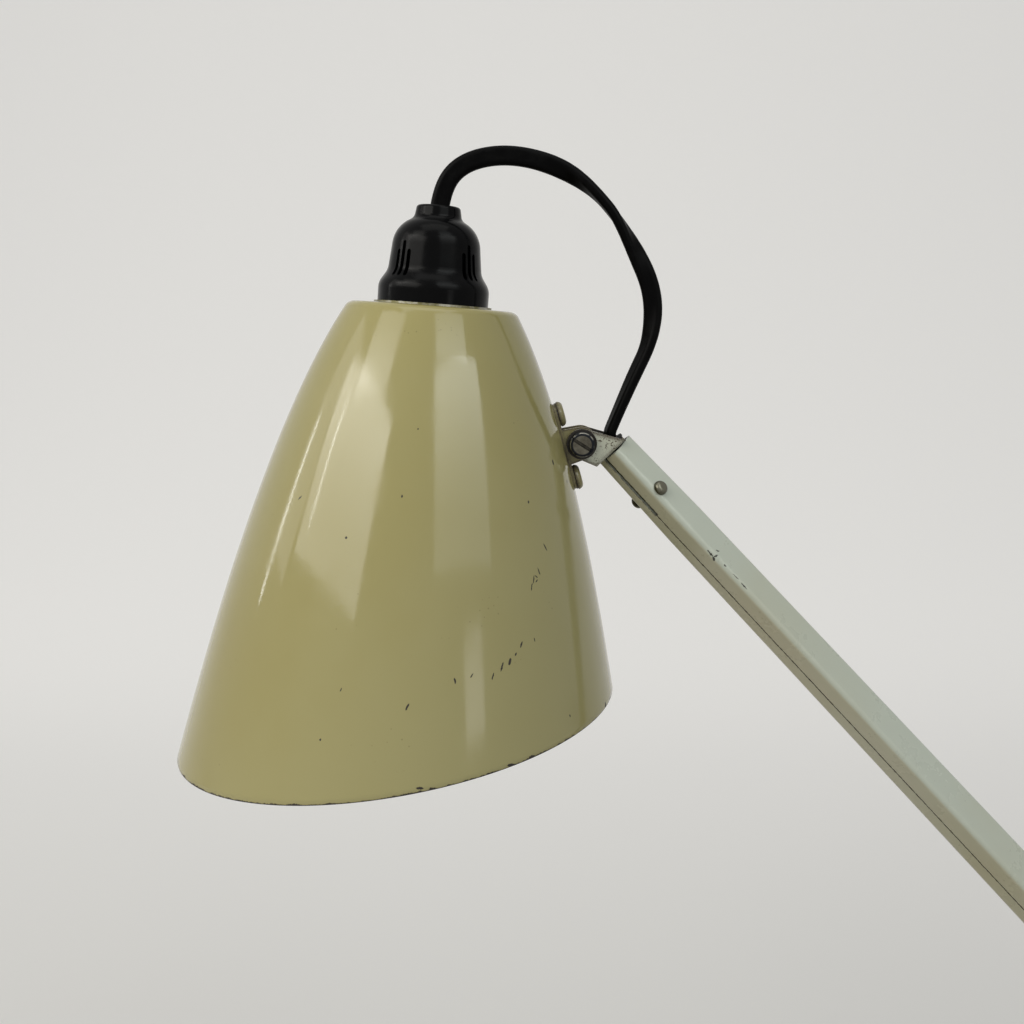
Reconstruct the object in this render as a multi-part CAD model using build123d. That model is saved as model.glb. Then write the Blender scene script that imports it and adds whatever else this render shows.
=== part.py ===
from build123d import *
import os
from math import acos, atan, cos, degrees, pi, radians, sin, sqrt, tan

# A jointed desk lamp: weighted round base, two folded square arms set on edge, tilting shade.
# Millimetres, Z up. The origin is the middle of the felt underside.
# The arms lie in the XZ plane, and the shade hangs on the -X side.

# Clearances shared by all pieces
running_gap = 0.08
bolt_gap = 0.15
seat_gap = 0.02
overrun = 2.0

# Shapes shared by all fasteners
nut_chamfer_share = 0.6
domed_crown_share = 0.9
flat_crown_share = 0.35

# How the lamp stands
foot_pivot_height = 60.0
lower_arm_reach = 330.0
lower_arm_rise = 60.0
upper_arm_reach = 380.0
upper_arm_rise = 46.55
head_lean = 4.22

# Base
base_radius = 95.0
base_height = 26.0
cover_wall = 1.5
cover_shoulder = 15.0
cover_lift = 1.0
felt_thickness = 2.5
felt_inset = 3.0
weight_gap = 1.0
weight_thickness = 14.0
weight_edge = 6.0
boss_radius = 27.0
recess_radius = 21.0
recess_depth = 11.5
channel_width = 12.0
channel_height = 10.5

# Turning spindle under the fork
spindle_radius = 6.0
bush_wall = 3.0
bush_flange = 7.0
bush_flange_height = 3.0
bush_nut_flat = 24.0
bush_nut_height = 5.0
turret_washer_height = 0.8
spindle_washer_rim = 4.0
spindle_washer_height = 1.2
spindle_nut_flat = 17.0
spindle_nut_height = 4.2
spindle_tail = 0.5

# Push switch in the base
switch_reach_share = 0.61
switch_reach = base_radius * switch_reach_share
switch_radius = 11.0
switch_height = 13.0
switch_well_gap = 3.0
switch_neck_radius = 6.0
switch_neck_height = 4.5
bezel_rim = 4.0
bezel_height = 2.6
bezel_edge_share = 0.6
button_radius = 4.3
button_collar = 2.0
button_collar_height = 2.0
button_stand = 4.5
button_travel = 2.5
button_edge = 1.2
button_gap = 0.3
switch_floor = 2.5

# Lead inlet bush
inlet_height = 7.4
inlet_bore = 2.6
inlet_neck = 3.6
inlet_flange = 4.5
inlet_flange_height = 2.0

# Arm pivots at the foot and the elbow
tongue_thickness = 8.0
tongue_radius = 10.5
cheek_thickness = 4.0
fibre_thickness = 0.6
fibre_inset = 1.0
fork_disc_radius = 20.0
fork_disc_height = 6.0
fork_disc_edge = 2.0
fork_foot_width = 30.0
pivot_neck = 20.0
fork_floor_gap = 2.0
collar_height = 4.0
shank_length = 28.0
shank_gap = 0.15
pivot_shank_radius = 3.0
pivot_head_radius = 6.5
pivot_head_height = 3.8
pivot_washer_rim = 1.0
pivot_washer_height = 1.0
pivot_nut_flat = 10.0
pivot_nut_height = 5.0
pivot_tail = 1.0
slot_width = 1.4
slot_depth = 1.5
arm_pin_radius = 1.6
arm_pin_stand = 0.8
arm_pin_edge_share = 0.6

# Folded arm tubes, square and set on edge
tube_wall = 1.0
tube_corner = 2.4
lower_foot_size = 18.8
elbow_size = 16.8
throat_size = 13.3
head_end_size = 12.0
throat_length = 40.0
seam_gap = 0.35
seam_shift = 1.0
end_slot_width = 1.4
end_slot_length = 29.0

# Swivel stem and its retaining pin
stem_wall = 1.0
stem_insert = 30.0
flare_rim = 0.9
flare_height = 0.7
retainer_radius = 1.5
retainer_depth = 21.5
retainer_shift = 2.9
retainer_head_radius = 2.75
retainer_head_height = 2.2
retainer_play = 0.15
retainer_crown_share = 0.75
swivel_limit = 60.0
swivel_spare = 3.0

# Head clevis
tilt_ahead = 10.7
tilt_drop = 7.4
web_gap = 0.5
clevis_sheet = 1.5
clevis_end_radius = 5.6
clevis_low = 1.65
clevis_high = 12.8
clevis_square = 2.6
clevis_edge = 5.2
clevis_fold = 0.8
tilt_fibre_thickness = 0.5
tilt_fibre_inset = 0.8
tilt_shank_radius = 2.5
tilt_head_radius = 4.7
tilt_head_height = 3.0
tilt_washer_rim = 0.9
tilt_washer_height = 0.8
tilt_nut_flat = 8.0
tilt_nut_height = 4.0
tilt_slot_width = 1.3
tilt_slot_depth = 1.3
tilt_slot_turn = 104.5

# Shade bracket on the shade
ear_sheet = 1.4
ear_width = 9.4
ear_end_radius = 6.1
ear_foot = 13.5
flange_sheet = 1.0
flange_length = 33.0
flange_width = 9.9
flange_corner = 4.7
tilt_standoff = 6.4
bracket_depth = 48.3
spacer_wall = 1.2
bracket_screw_pitch = 24.6
bracket_screw_radius = 2.0
bracket_head_radius = 4.75
bracket_head_height = 2.1
bracket_slot_width = 1.1
bracket_slot_depth = 1.0
bracket_nut_flat = 7.0
bracket_nut_height = 3.0
bracket_nut_lift = 0.3

# Spun shade, a parabola in section
shade_top_radius = 30.8
shade_mouth_radius = 86.8
shade_depth = 174.9
shade_wall = 0.9
shade_shoulder = 4.0
rim_depth = 156.3
rim_slope = 12.08

# Lampholder
cap_skirt_radius = 20.35
cap_skirt_height = 4.6
cap_waist_radius = 17.0
cap_waist_height = 12.8
cap_shoulder_radius = 16.1
cap_shoulder_height = 20.8
cap_crown_rise_share = 0.46
cap_crown_in_share = 0.225
cap_throat_rise_share = 0.77
cap_throat_in_share = 0.675
cap_neck_radius = 8.5
cap_neck_foot = 31.6
cap_neck_lean_share = 0.25
cap_lip_radius = 7.9
cap_height = 35.0
cap_lip_edge = 1.2
cap_wall = 2.5
cap_cavity_height = 21.0
cord_hole_radius = 4.2
groove_radius = 0.8
groove_sink = 0.7
groove_pitch = 8.8
groove_low = 9.0
groove_high = 18.4
groove_extra = 3.0
groove_turn = 50.0
groove_groups = 4
thread_lap = 6.5
holder_washer_rim = 1.3
holder_washer_height = 0.8
sleeve_wall = 2.8
sleeve_drop = 33.0
sleeve_lip = 0.9
sleeve_lip_height = 3.0
ledge_rise = 0.5
ledge_depth = 1.5
block_hole_radius = 1.6
ring_rim = 5.5
ring_height = 6.0
ring_notch_radius = 1.5
ring_notch_count = 12

# Lamp contacts and bulb
shell_wall = 0.6
shell_drop = 28.0
shell_hole_radius = 6.0
contact_sheet = 0.6
contact_width = 4.0
contact_reach = 4.6
contact_drop = 2.4
contact_bend_share = 0.33
contact_inner_share = 0.25
contact_rise_share = 0.11
contact_tip_share = 0.5
bulb_cap_gap = 0.4
bulb_cap_wall = 0.4
bulb_cap_length = 22.0
bulb_tip_radius = 4.5
bulb_tip_height = 3.0
bulb_tip_gap = 0.2
bulb_radius = 30.0
bulb_centre_drop = 75.0
bulb_glass_wall = 0.8
bulb_cement_gap = 0.2
bulb_neck_lap = 14.0

# Flex from the lampholder to the arm, as an equal round cord, points across and above the shade top
flex_radius = 2.7
flex_points = [
    (0, 28),
    (0, 40),
    (7, 51),
    (24, 55.5),
    (44, 52),
    (60.5, 41.5),
    (72, 26),
    (81, 10),
    (81.5, -7),
    (76, -21.5),
    (71, -36.5),
]
flex_turn_ahead = 4.6
flex_in_stem = 4.0
flex_bend_share = 0.45

UP = (Align.CENTER, Align.CENTER, Align.MIN)
DOWN = (Align.CENTER, Align.CENTER, Align.MAX)
ON_EDGE = 45
HALF_HEX = 30
SEAM_SIDE = 225
pieces = {}


def rod(radius, height, start=0):
    return Pos(0, 0, start) * Cylinder(radius, height, align=UP)


def washer(outer, inner, height, start=0):
    return rod(outer, height, start) - rod(inner, height + 2 * overrun, start - overrun)


def hex_nut(flat, bore, height, start=0):
    blank = extrude(RegularPolygon(flat / 2, 6, major_radius=False), height)
    corner = flat / 2 / cos(radians(HALF_HEX))
    cut = (corner - flat / 2) * nut_chamfer_share
    blank = blank & chamfer(rod(corner, height).edges(), cut)
    return Pos(0, 0, start) * (blank - rod(bore, height + 2 * overrun, -overrun))


def slotted_screw(head_radius, head_height, shank_radius, shank_length, width, depth, domed):
    # The head stands on the zero plane, and the shank hangs below it.
    head = rod(head_radius, head_height)
    crown_share = domed_crown_share if domed else flat_crown_share
    head = fillet(head.edges().group_by(Axis.Z)[-1], head_height * crown_share)
    cutter = Pos(0, 0, head_height - depth) * Box(2 * head_radius + overrun, width, depth + overrun, align=UP)
    return head - cutter + rod(shank_radius, shank_length, -shank_length)


def plate(outline, thickness, middle=0):
    # An outline in X and Z, made thick along Y about its middle.
    return Pos(0, middle, 0) * extrude(Plane.XZ * outline, thickness / 2, both=True)


def cross_hole(radius):
    # A cutter along Y through everything at the pivot.
    return Rot(90, 0, 0) * Cylinder(radius, 2 * base_radius)


def on_edge(size, corner, height):
    return Pos(0, 0, height) * Rot(0, 0, ON_EDGE) * RectangleRounded(size, size, corner)


# Frames of the arms and the head, worked out along the chain of pivots
fork_gap = tongue_thickness + 2 * fibre_thickness
lower_frame = Pos(0, 0, foot_pivot_height) * Rot(0, 90 - lower_arm_rise, 0)
elbow_frame = lower_frame * Pos(0, 0, lower_arm_reach)
elbow_point = elbow_frame.position
upper_frame = Pos(*elbow_point) * Rot(0, upper_arm_rise - 90, 0)
tube_end_frame = upper_frame * Pos(0, 0, upper_arm_reach)
tilt_frame = upper_frame * Pos(-tilt_drop, 0, upper_arm_reach + tilt_ahead)
tilt_point = tilt_frame.position

# The shade wall is a parabola: radius squared grows evenly with depth.
wall_growth = (shade_mouth_radius**2 - shade_top_radius**2) / shade_depth


def wall_radius(depth):
    return sqrt(shade_top_radius**2 + wall_growth * depth)


wall_angle = degrees(atan(wall_growth / (2 * wall_radius(bracket_depth))))
bracket_place = Pos(wall_radius(bracket_depth), 0, -bracket_depth) * Rot(0, 90 - wall_angle, 0)
tilt_in_head = (bracket_place * Pos(0, 0, tilt_standoff)).position
head_frame = Pos(*tilt_point) * Rot(0, head_lean, 0) * Pos(-tilt_in_head.X, 0, -tilt_in_head.Z)


def base_pieces():
    # Spun cover, cast weight with a boss that the bush clamps, and a felt pad.
    top_under = base_height - cover_wall
    outer = rod(base_radius, base_height - cover_lift, cover_lift)
    outer = fillet(outer.edges().group_by(Axis.Z)[-1], cover_shoulder)
    hollow = rod(base_radius - cover_wall, top_under - cover_lift + overrun, cover_lift - overrun)
    hollow = fillet(hollow.edges().group_by(Axis.Z)[-1], cover_shoulder - cover_wall)
    bush_radius = spindle_radius + bush_wall
    inlet_axis = Pos(0, 0, inlet_height) * Rot(0, 90, 0)
    cover = outer - hollow - rod(bush_radius + bolt_gap, 2 * base_height)
    cover -= Pos(-switch_reach, 0, 0) * rod(switch_neck_radius + bolt_gap, 2 * base_height)
    cover -= inlet_axis * rod(inlet_neck + running_gap, 2 * base_radius)
    pieces["base_cover"] = cover

    weight_radius = base_radius - cover_wall - weight_gap
    weight = rod(weight_radius, weight_thickness, felt_thickness)
    weight = fillet(weight.edges().group_by(Axis.Z)[-1], weight_edge)
    weight += rod(boss_radius, top_under - felt_thickness, felt_thickness)
    recess_top = felt_thickness + recess_depth
    weight -= rod(recess_radius, recess_depth + overrun, felt_thickness - overrun)
    weight -= rod(bush_radius + bolt_gap, 2 * base_height)
    weight -= Pos(-switch_reach, 0, 0) * rod(switch_radius + switch_well_gap, 2 * base_height)
    channel = Box(base_radius + switch_reach, channel_width, channel_height + overrun, align=UP)
    weight -= Pos((base_radius - switch_reach) / 2, 0, felt_thickness - overrun) * channel
    pieces["base_weight"] = weight

    pieces["base_felt"] = rod(base_radius - cover_wall - felt_inset, felt_thickness)

    bush = rod(bush_radius + bush_flange, bush_flange_height, base_height)
    bush += rod(bush_radius, base_height - recess_top + bush_nut_height, recess_top - bush_nut_height)
    bush -= rod(spindle_radius + running_gap, 2 * base_height)
    pieces["spindle_bush"] = bush
    pieces["bush_nut"] = hex_nut(
        bush_nut_flat, bush_radius + seat_gap, bush_nut_height, recess_top - bush_nut_height
    )

    inner_flange = base_radius - cover_wall - bolt_gap - inlet_flange_height
    inlet = rod(inlet_flange, inlet_flange_height, base_radius + bolt_gap)
    inlet += rod(inlet_flange, inlet_flange_height, inner_flange)
    inlet += rod(inlet_neck, base_radius + inlet_flange_height - inner_flange, inner_flange)
    inlet -= rod(inlet_bore, 2 * base_radius)
    pieces["lead_inlet_bush"] = inlet_axis * inlet
    return top_under, recess_top


def switch_pieces(top_under):
    # A push switch hangs from the cover, and its bezel nut clamps it there.
    place = Pos(-switch_reach, 0, 0)
    bottom = top_under - switch_height
    neck_top = top_under + cover_wall + switch_neck_height
    collar_radius = button_radius + button_collar
    cavity_top = top_under - switch_floor
    collar_top = cavity_top - button_gap
    collar_low = collar_top - button_collar_height
    button_low = collar_low - switch_floor + button_gap
    body = rod(switch_radius, switch_height, bottom)
    body += rod(switch_neck_radius, neck_top - top_under, top_under)
    body -= rod(button_radius + button_gap, neck_top, cavity_top - overrun)
    cavity_low = button_low - button_travel - button_gap
    body -= rod(collar_radius + button_gap, cavity_top - cavity_low, cavity_low)
    pieces["switch_body"] = place * body

    ring = washer(switch_neck_radius + bezel_rim, switch_neck_radius + seat_gap, bezel_height, base_height)
    outer_edge = ring.edges().group_by(Axis.Z)[-1].sort_by(SortBy.LENGTH)[-1]
    ring = fillet(outer_edge, bezel_height * bezel_edge_share)
    pieces["switch_bezel"] = place * ring

    button = rod(button_radius, neck_top + button_stand - button_low, button_low)
    button = fillet(button.edges().group_by(Axis.Z)[-1], button_edge)
    button += rod(collar_radius, button_collar_height, collar_low)
    pieces["switch_button"] = place * button


def pivot_hardware(name, frame):
    # A slotted screw, its washer, two fibre discs and a nut, along Y with the head at the front.
    stack = fork_gap / 2 + cheek_thickness
    front = frame * Rot(90, 0, 0)
    back = frame * Rot(-90, 0, 0)
    washer_radius = pivot_head_radius + pivot_washer_rim
    hole = pivot_shank_radius + bolt_gap
    disc = washer(tongue_radius - fibre_inset, hole, fibre_thickness, tongue_thickness / 2)
    length = 2 * stack + pivot_washer_height + pivot_nut_height + pivot_tail
    screw = slotted_screw(
        pivot_head_radius, pivot_head_height, pivot_shank_radius, length, slot_width, slot_depth, False
    )
    pieces[name + "_screw"] = front * Pos(0, 0, stack + pivot_washer_height) * screw
    pieces[name + "_washer"] = front * washer(washer_radius, hole, pivot_washer_height, stack)
    thread = pivot_shank_radius + seat_gap
    pieces[name + "_nut"] = back * hex_nut(pivot_nut_flat, thread, pivot_nut_height, stack)
    pieces[name + "_fibre_discs"] = Compound([front * disc, back * disc])


def turret_pieces(recess_top):
    # The fork turns on the bush, held down by a sprung nut under the weight.
    floor = base_height + bush_flange_height
    disc_low = floor + turret_washer_height
    bush_rim = spindle_radius + bush_wall + bush_flange
    bush_end = recess_top - bush_nut_height
    pieces["turret_washer"] = washer(bush_rim, spindle_radius + bolt_gap, turret_washer_height, floor)

    disc_top = disc_low + fork_disc_height
    drop = disc_low - foot_pivot_height
    foot = Line((-fork_foot_width / 2, drop), (fork_foot_width / 2, drop))
    outline = make_hull(Circle(tongue_radius).edges() + foot.edges())
    middle = (fork_gap + cheek_thickness) / 2
    cheeks = plate(outline, cheek_thickness, middle) + plate(outline, cheek_thickness, -middle)
    disc = rod(fork_disc_radius, fork_disc_height, disc_low)
    disc = fillet(disc.edges().group_by(Axis.Z)[-1], fork_disc_edge)
    fork = disc + Pos(0, 0, foot_pivot_height) * (cheeks - cross_hole(pivot_shank_radius + running_gap))
    fork -= rod(spindle_radius + seat_gap, 2 * foot_pivot_height)
    pieces["base_fork"] = fork

    washer_low = bush_end - spindle_washer_height
    nut_low = washer_low - spindle_nut_height
    spindle_low = nut_low - spindle_tail
    pieces["fork_spindle"] = rod(spindle_radius, disc_top - spindle_low, spindle_low)
    pieces["spindle_spring_washer"] = washer(
        spindle_radius + spindle_washer_rim, spindle_radius + bolt_gap, spindle_washer_height, washer_low
    )
    pieces["spindle_nut"] = hex_nut(
        spindle_nut_flat, spindle_radius + seat_gap, spindle_nut_height, nut_low
    )


def shank(size, start):
    # A square plug, set on edge, from the collar into the tube.
    return extrude(on_edge(size, tube_corner - tube_wall, start), shank_length)


def tongue(plug_size, tube_size):
    # Flat tongue, collar and plug, with the pivot at the origin and the tube along +Z.
    blade = Circle(tongue_radius) + Pos(0, pivot_neck / 2) * Rectangle(2 * tongue_radius, pivot_neck)
    body = plate(blade, tongue_thickness) - cross_hole(pivot_shank_radius + running_gap)
    body += extrude(on_edge(tube_size, tube_corner, pivot_neck), collar_height)
    return body + shank(plug_size, pivot_neck + collar_height)


def clevis(plug_size, tube_size):
    # Two cheeks on a block, a collar and a plug, with the pivot at the origin and the tube along +Z.
    width = fork_gap + 2 * cheek_thickness
    blade = Circle(tongue_radius) + Pos(0, pivot_neck / 2) * Rectangle(2 * tongue_radius, pivot_neck)
    body = plate(blade, width) - cross_hole(pivot_shank_radius + running_gap)
    gap_length = 2 * (pivot_neck - fork_floor_gap)
    body -= Box(2 * tongue_radius + overrun, fork_gap, gap_length)
    body += extrude(on_edge(tube_size, tube_corner, pivot_neck), collar_height)
    return body + shank(plug_size, pivot_neck + collar_height)


def folded_tube(stations):
    # A folded sheet tube: square sections on edge, with the butt seam left open on one face.
    outer = loft([on_edge(size, tube_corner, z) for z, size in stations], ruled=True)
    hollow = loft(
        [on_edge(size - 2 * tube_wall, tube_corner - tube_wall, z) for z, size in stations], ruled=True
    )
    low, high = stations[0][0], stations[-1][0]
    widest = max(size for z, size in stations)
    slit = Box(widest, seam_gap, high - low + 2 * overrun, align=(Align.MIN, Align.CENTER, Align.MIN))
    return outer - hollow - Rot(0, 0, SEAM_SIDE) * Pos(0, -seam_shift, low - overrun) * slit


def arm_pin(size, height, radius, stand, shift, edge):
    # A pin straight through two faces of a tube, square to them.
    length = size + 2 * stand
    pin = fillet(Cylinder(radius, length).edges().filter_by(GeomType.CIRCLE), edge)
    return Rot(0, 0, -ON_EDGE) * Pos(0, -shift, height) * Rot(0, 90, 0) * pin


def riveted_pin(size, height):
    # The retaining pin: beside the axis, with a domed head on each face of the tube.
    head = rod(retainer_head_radius, retainer_head_height, size / 2)
    head = fillet(head.edges().group_by(Axis.Z)[-1], retainer_head_height * retainer_crown_share)
    pin = Cylinder(retainer_radius, size) + head + Rot(180, 0, 0) * head
    return Rot(0, 0, -ON_EDGE) * Pos(0, -retainer_shift, height) * Rot(0, 90, 0) * pin


def between(stations, height):
    # The tube's size at a height between its two nearest stations.
    for (z0, s0), (z1, s1) in zip(stations, stations[1:]):
        if z0 <= height <= z1:
            return s0 + (s1 - s0) * (height - z0) / (z1 - z0)


def plug_for(stations, end, way):
    # The largest square plug that goes in from one end of a tapered tube.
    smallest = min(between(stations, end), between(stations, end + way * shank_length))
    return smallest - 2 * tube_wall - 2 * shank_gap


def arm_pieces():
    # Tubes with their end fittings, each fitting held by one cross pin.
    start = pivot_neck + collar_height
    middle = start + shank_length / 2
    pin_edge = arm_pin_radius * arm_pin_edge_share

    lower_top = lower_arm_reach - start
    lower = [(start, lower_foot_size), (lower_top, elbow_size)]
    foot_pin = arm_pin(between(lower, middle), middle, arm_pin_radius, arm_pin_stand, 0, pin_edge)
    top_middle = lower_arm_reach - middle
    top_pin = arm_pin(between(lower, top_middle), top_middle, arm_pin_radius, arm_pin_stand, 0, pin_edge)
    lower_tube = folded_tube(lower) - foot_pin - top_pin
    foot_tongue = tongue(plug_for(lower, start, 1), lower_foot_size) - foot_pin
    turned = Pos(0, 0, lower_arm_reach) * Rot(180, 0, 0)
    elbow_clevis = turned * clevis(plug_for(lower, lower_top, -1), elbow_size) - top_pin
    pieces["lower_arm_tube"] = lower_frame * lower_tube
    pieces["foot_tongue"] = lower_frame * foot_tongue
    pieces["elbow_clevis"] = lower_frame * elbow_clevis
    pieces["lower_arm_pins"] = Compound([lower_frame * foot_pin, lower_frame * top_pin])

    throat = upper_arm_reach - throat_length
    upper = [(start, elbow_size), (throat, throat_size), (upper_arm_reach, head_end_size)]
    elbow_pin = arm_pin(between(upper, middle), middle, arm_pin_radius, arm_pin_stand, 0, pin_edge)
    pin_height = upper_arm_reach - retainer_depth
    retainer = riveted_pin(between(upper, pin_height - retainer_head_radius), pin_height)
    upper_tube = folded_tube(upper) - elbow_pin - retainer
    end_slot = Box(
        elbow_size, end_slot_width, end_slot_length + overrun, align=(Align.MIN, Align.CENTER, Align.MIN)
    )
    slot_low = upper_arm_reach - end_slot_length
    upper_tube -= Rot(0, 0, SEAM_SIDE) * Pos(0, -seam_shift, slot_low) * end_slot
    elbow_tongue = tongue(plug_for(upper, start, 1), elbow_size) - elbow_pin
    pieces["upper_arm_tube"] = upper_frame * upper_tube
    pieces["elbow_tongue"] = upper_frame * elbow_tongue
    pieces["upper_arm_pin"] = upper_frame * elbow_pin
    pieces["retaining_pin"] = upper_frame * retainer


def knuckle_pieces():
    # Folded clevis with skewed cheeks, on a hollow stem that turns in the split end of the arm.
    gap = ear_width + 2 * tilt_fibre_thickness
    web_low = web_gap - tilt_ahead
    web_top = web_low + clevis_sheet
    foot = Line((-clevis_low, web_low), (clevis_high, web_low))
    rounded = make_hull(Circle(clevis_end_radius).edges() + foot.edges())
    squared = make_face(
        Polyline(
            (-clevis_low, web_low),
            (clevis_high, web_low),
            (clevis_edge, clevis_square),
            (-clevis_edge, clevis_square),
            close=True,
        )
    )
    middle = (gap + clevis_sheet) / 2
    width = gap + 2 * clevis_sheet
    body = plate(rounded, clevis_sheet, -middle) + plate(squared, clevis_sheet, middle)
    web = Box(clevis_low + clevis_high, width, clevis_sheet, align=(Align.MIN, Align.CENTER, Align.MIN))
    body += Pos(-clevis_low, 0, web_low) * web
    folds = body.edges().filter_by(Axis.X).group_by(Axis.Z)[0]
    body = fillet(folds, clevis_fold)
    body -= cross_hole(tilt_shank_radius + running_gap)
    stem_radius = head_end_size / 2 - tube_wall - running_gap
    stem_axis = Pos(tilt_drop, 0, 0)
    body -= stem_axis * rod(stem_radius + seat_gap, 2 * tilt_ahead, -2 * tilt_ahead)
    pieces["head_clevis"] = tilt_frame * body

    stem_low = -tilt_ahead - stem_insert
    stem = rod(stem_radius, web_top - stem_low, stem_low)
    flare = rod(stem_radius + flare_rim, flare_height, web_top)
    stem += flare & Box(2 * clevis_high, gap - 2 * bolt_gap, 2 * tilt_ahead)
    stem -= rod(stem_radius - stem_wall, 2 * stem_insert, stem_low - overrun)
    # The pin crosses the bore beside the axis, so the notch spans its two ends and the swivel both ways.
    reach = degrees(acos((retainer_shift - retainer_radius - retainer_play) / stem_radius))
    bridge = 180 - reach - swivel_limit - swivel_spare
    notch_width = 2 * (retainer_radius + retainer_play)
    notch_low = -tilt_ahead - retainer_depth - notch_width / 2
    half_bridge = 2 * stem_radius * sin(radians(bridge))
    along_bridge = 2 * stem_radius * cos(radians(bridge))
    wedge = make_face(Polyline((0, 0), (along_bridge, half_bridge), (along_bridge, -half_bridge), close=True))
    keep = Rot(0, 0, SEAM_SIDE - 180) * extrude(wedge, notch_width)
    notch = rod(stem_radius + overrun, notch_width) - keep
    stem -= Pos(0, 0, notch_low) * notch
    pieces["swivel_stem"] = tilt_frame * stem_axis * stem

    stack = width / 2
    front = tilt_frame * Rot(90, 0, 0)
    back = tilt_frame * Rot(-90, 0, 0)
    length = 2 * stack + tilt_washer_height + tilt_nut_height + pivot_tail
    screw = slotted_screw(
        tilt_head_radius, tilt_head_height, tilt_shank_radius, length, tilt_slot_width, tilt_slot_depth, False
    )
    turned_screw = Rot(0, 0, tilt_slot_turn) * screw
    pieces["tilt_screw"] = front * Pos(0, 0, stack + tilt_washer_height) * turned_screw
    pieces["tilt_washer"] = front * washer(
        tilt_head_radius + tilt_washer_rim, tilt_shank_radius + bolt_gap, tilt_washer_height, stack
    )
    pieces["tilt_nut"] = back * hex_nut(tilt_nut_flat, tilt_shank_radius + seat_gap, tilt_nut_height, stack)
    disc_radius = clevis_end_radius - tilt_fibre_inset
    disc = washer(disc_radius, tilt_shank_radius + bolt_gap, tilt_fibre_thickness, ear_width / 2)
    pieces["tilt_fibre_discs"] = Compound([front * disc, back * disc])


def shade_blank(grow, drop):
    # A solid of revolution inside the shade's parabola, moved out by grow, from a depth down past the rim.
    deep = shade_depth + overrun
    top = wall_radius(drop) + grow
    mouth = wall_radius(deep) + grow
    middle = (top + mouth) / 2
    pull = drop + 2 * wall_radius(drop) * (middle - top) / wall_growth
    wall = Bezier((top, -drop), (middle, -pull), (mouth, -deep))
    sides = Polyline((mouth, -deep), (0, -deep), (0, -drop), (top, -drop))
    return revolve(Plane.XZ * make_face(wall + sides), Axis.Z)


def shade_pieces():
    # Spun shade with a slanted rim, and the bracket that carries it.
    outer = fillet(shade_blank(0, 0).edges().group_by(Axis.Z)[-1], shade_shoulder)
    hollow = shade_blank(-shade_wall, shade_wall)
    hollow = fillet(hollow.edges().group_by(Axis.Z)[-1], shade_shoulder - shade_wall)
    sleeve_radius = cap_waist_radius + bolt_gap
    below = Pos(0, 0, -rim_depth) * Rot(0, -rim_slope, 0)
    below *= Box(3 * shade_mouth_radius, 3 * shade_mouth_radius, shade_depth, align=DOWN)
    screw_places = [bracket_place * Pos(side * bracket_screw_pitch / 2, 0, 0) for side in (-1, 1)]
    shade = outer - hollow - below - rod(sleeve_radius + bolt_gap, 2 * overrun, -overrun)
    for place in screw_places:
        shade -= place * Cylinder(bracket_screw_radius + bolt_gap, 2 * ear_foot)
    pieces["shade"] = head_frame * shade

    # The flange is a patch of the wall's own shape, so it seats all over.
    lift = flange_sheet / cos(radians(wall_angle))
    patch = extrude(RectangleRounded(flange_length, flange_width, flange_corner), ear_foot, both=True)
    bracket = shade_blank(lift, 0) & bracket_place * patch
    half_foot = ear_foot / 2
    foot = Line((-half_foot, -tilt_standoff), (half_foot, -tilt_standoff))
    outline = make_hull(Circle(ear_end_radius).edges() + foot.edges())
    middle = (ear_width - ear_sheet) / 2
    ears = plate(outline, ear_sheet, middle) + plate(outline, ear_sheet, -middle)
    bracket += bracket_place * Pos(0, 0, tilt_standoff) * (ears - cross_hole(tilt_shank_radius + running_gap))
    bracket -= shade_blank(0, 0)
    for place in screw_places:
        bracket -= place * Cylinder(bracket_screw_radius + bolt_gap, 2 * ear_foot)
    pieces["shade_bracket"] = head_frame * bracket

    # The wall curves away under a flat screw head and towards a flat nut.
    length = flange_sheet + shade_wall + bracket_nut_lift + bracket_nut_height + pivot_tail
    screw = slotted_screw(
        bracket_head_radius,
        bracket_head_height,
        bracket_screw_radius,
        length,
        bracket_slot_width,
        bracket_slot_depth,
        True,
    )
    seat = flange_sheet + bolt_gap
    nut = hex_nut(
        bracket_nut_flat,
        bracket_screw_radius + seat_gap,
        bracket_nut_height,
        -shade_wall - bracket_nut_lift - bracket_nut_height,
    )
    seats = [head_frame * place * Pos(0, 0, seat) for place in screw_places]
    pieces["bracket_screws"] = Compound([place * screw for place in seats])
    pieces["bracket_nuts"] = Compound([head_frame * place * nut for place in screw_places])
    spacer = washer(
        tilt_shank_radius + running_gap + spacer_wall,
        tilt_shank_radius + running_gap,
        ear_width - 2 * ear_sheet,
        -ear_width / 2 + ear_sheet,
    )
    pieces["tilt_spacer"] = head_frame * Pos(*tilt_in_head) * Rot(90, 0, 0) * spacer


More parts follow.
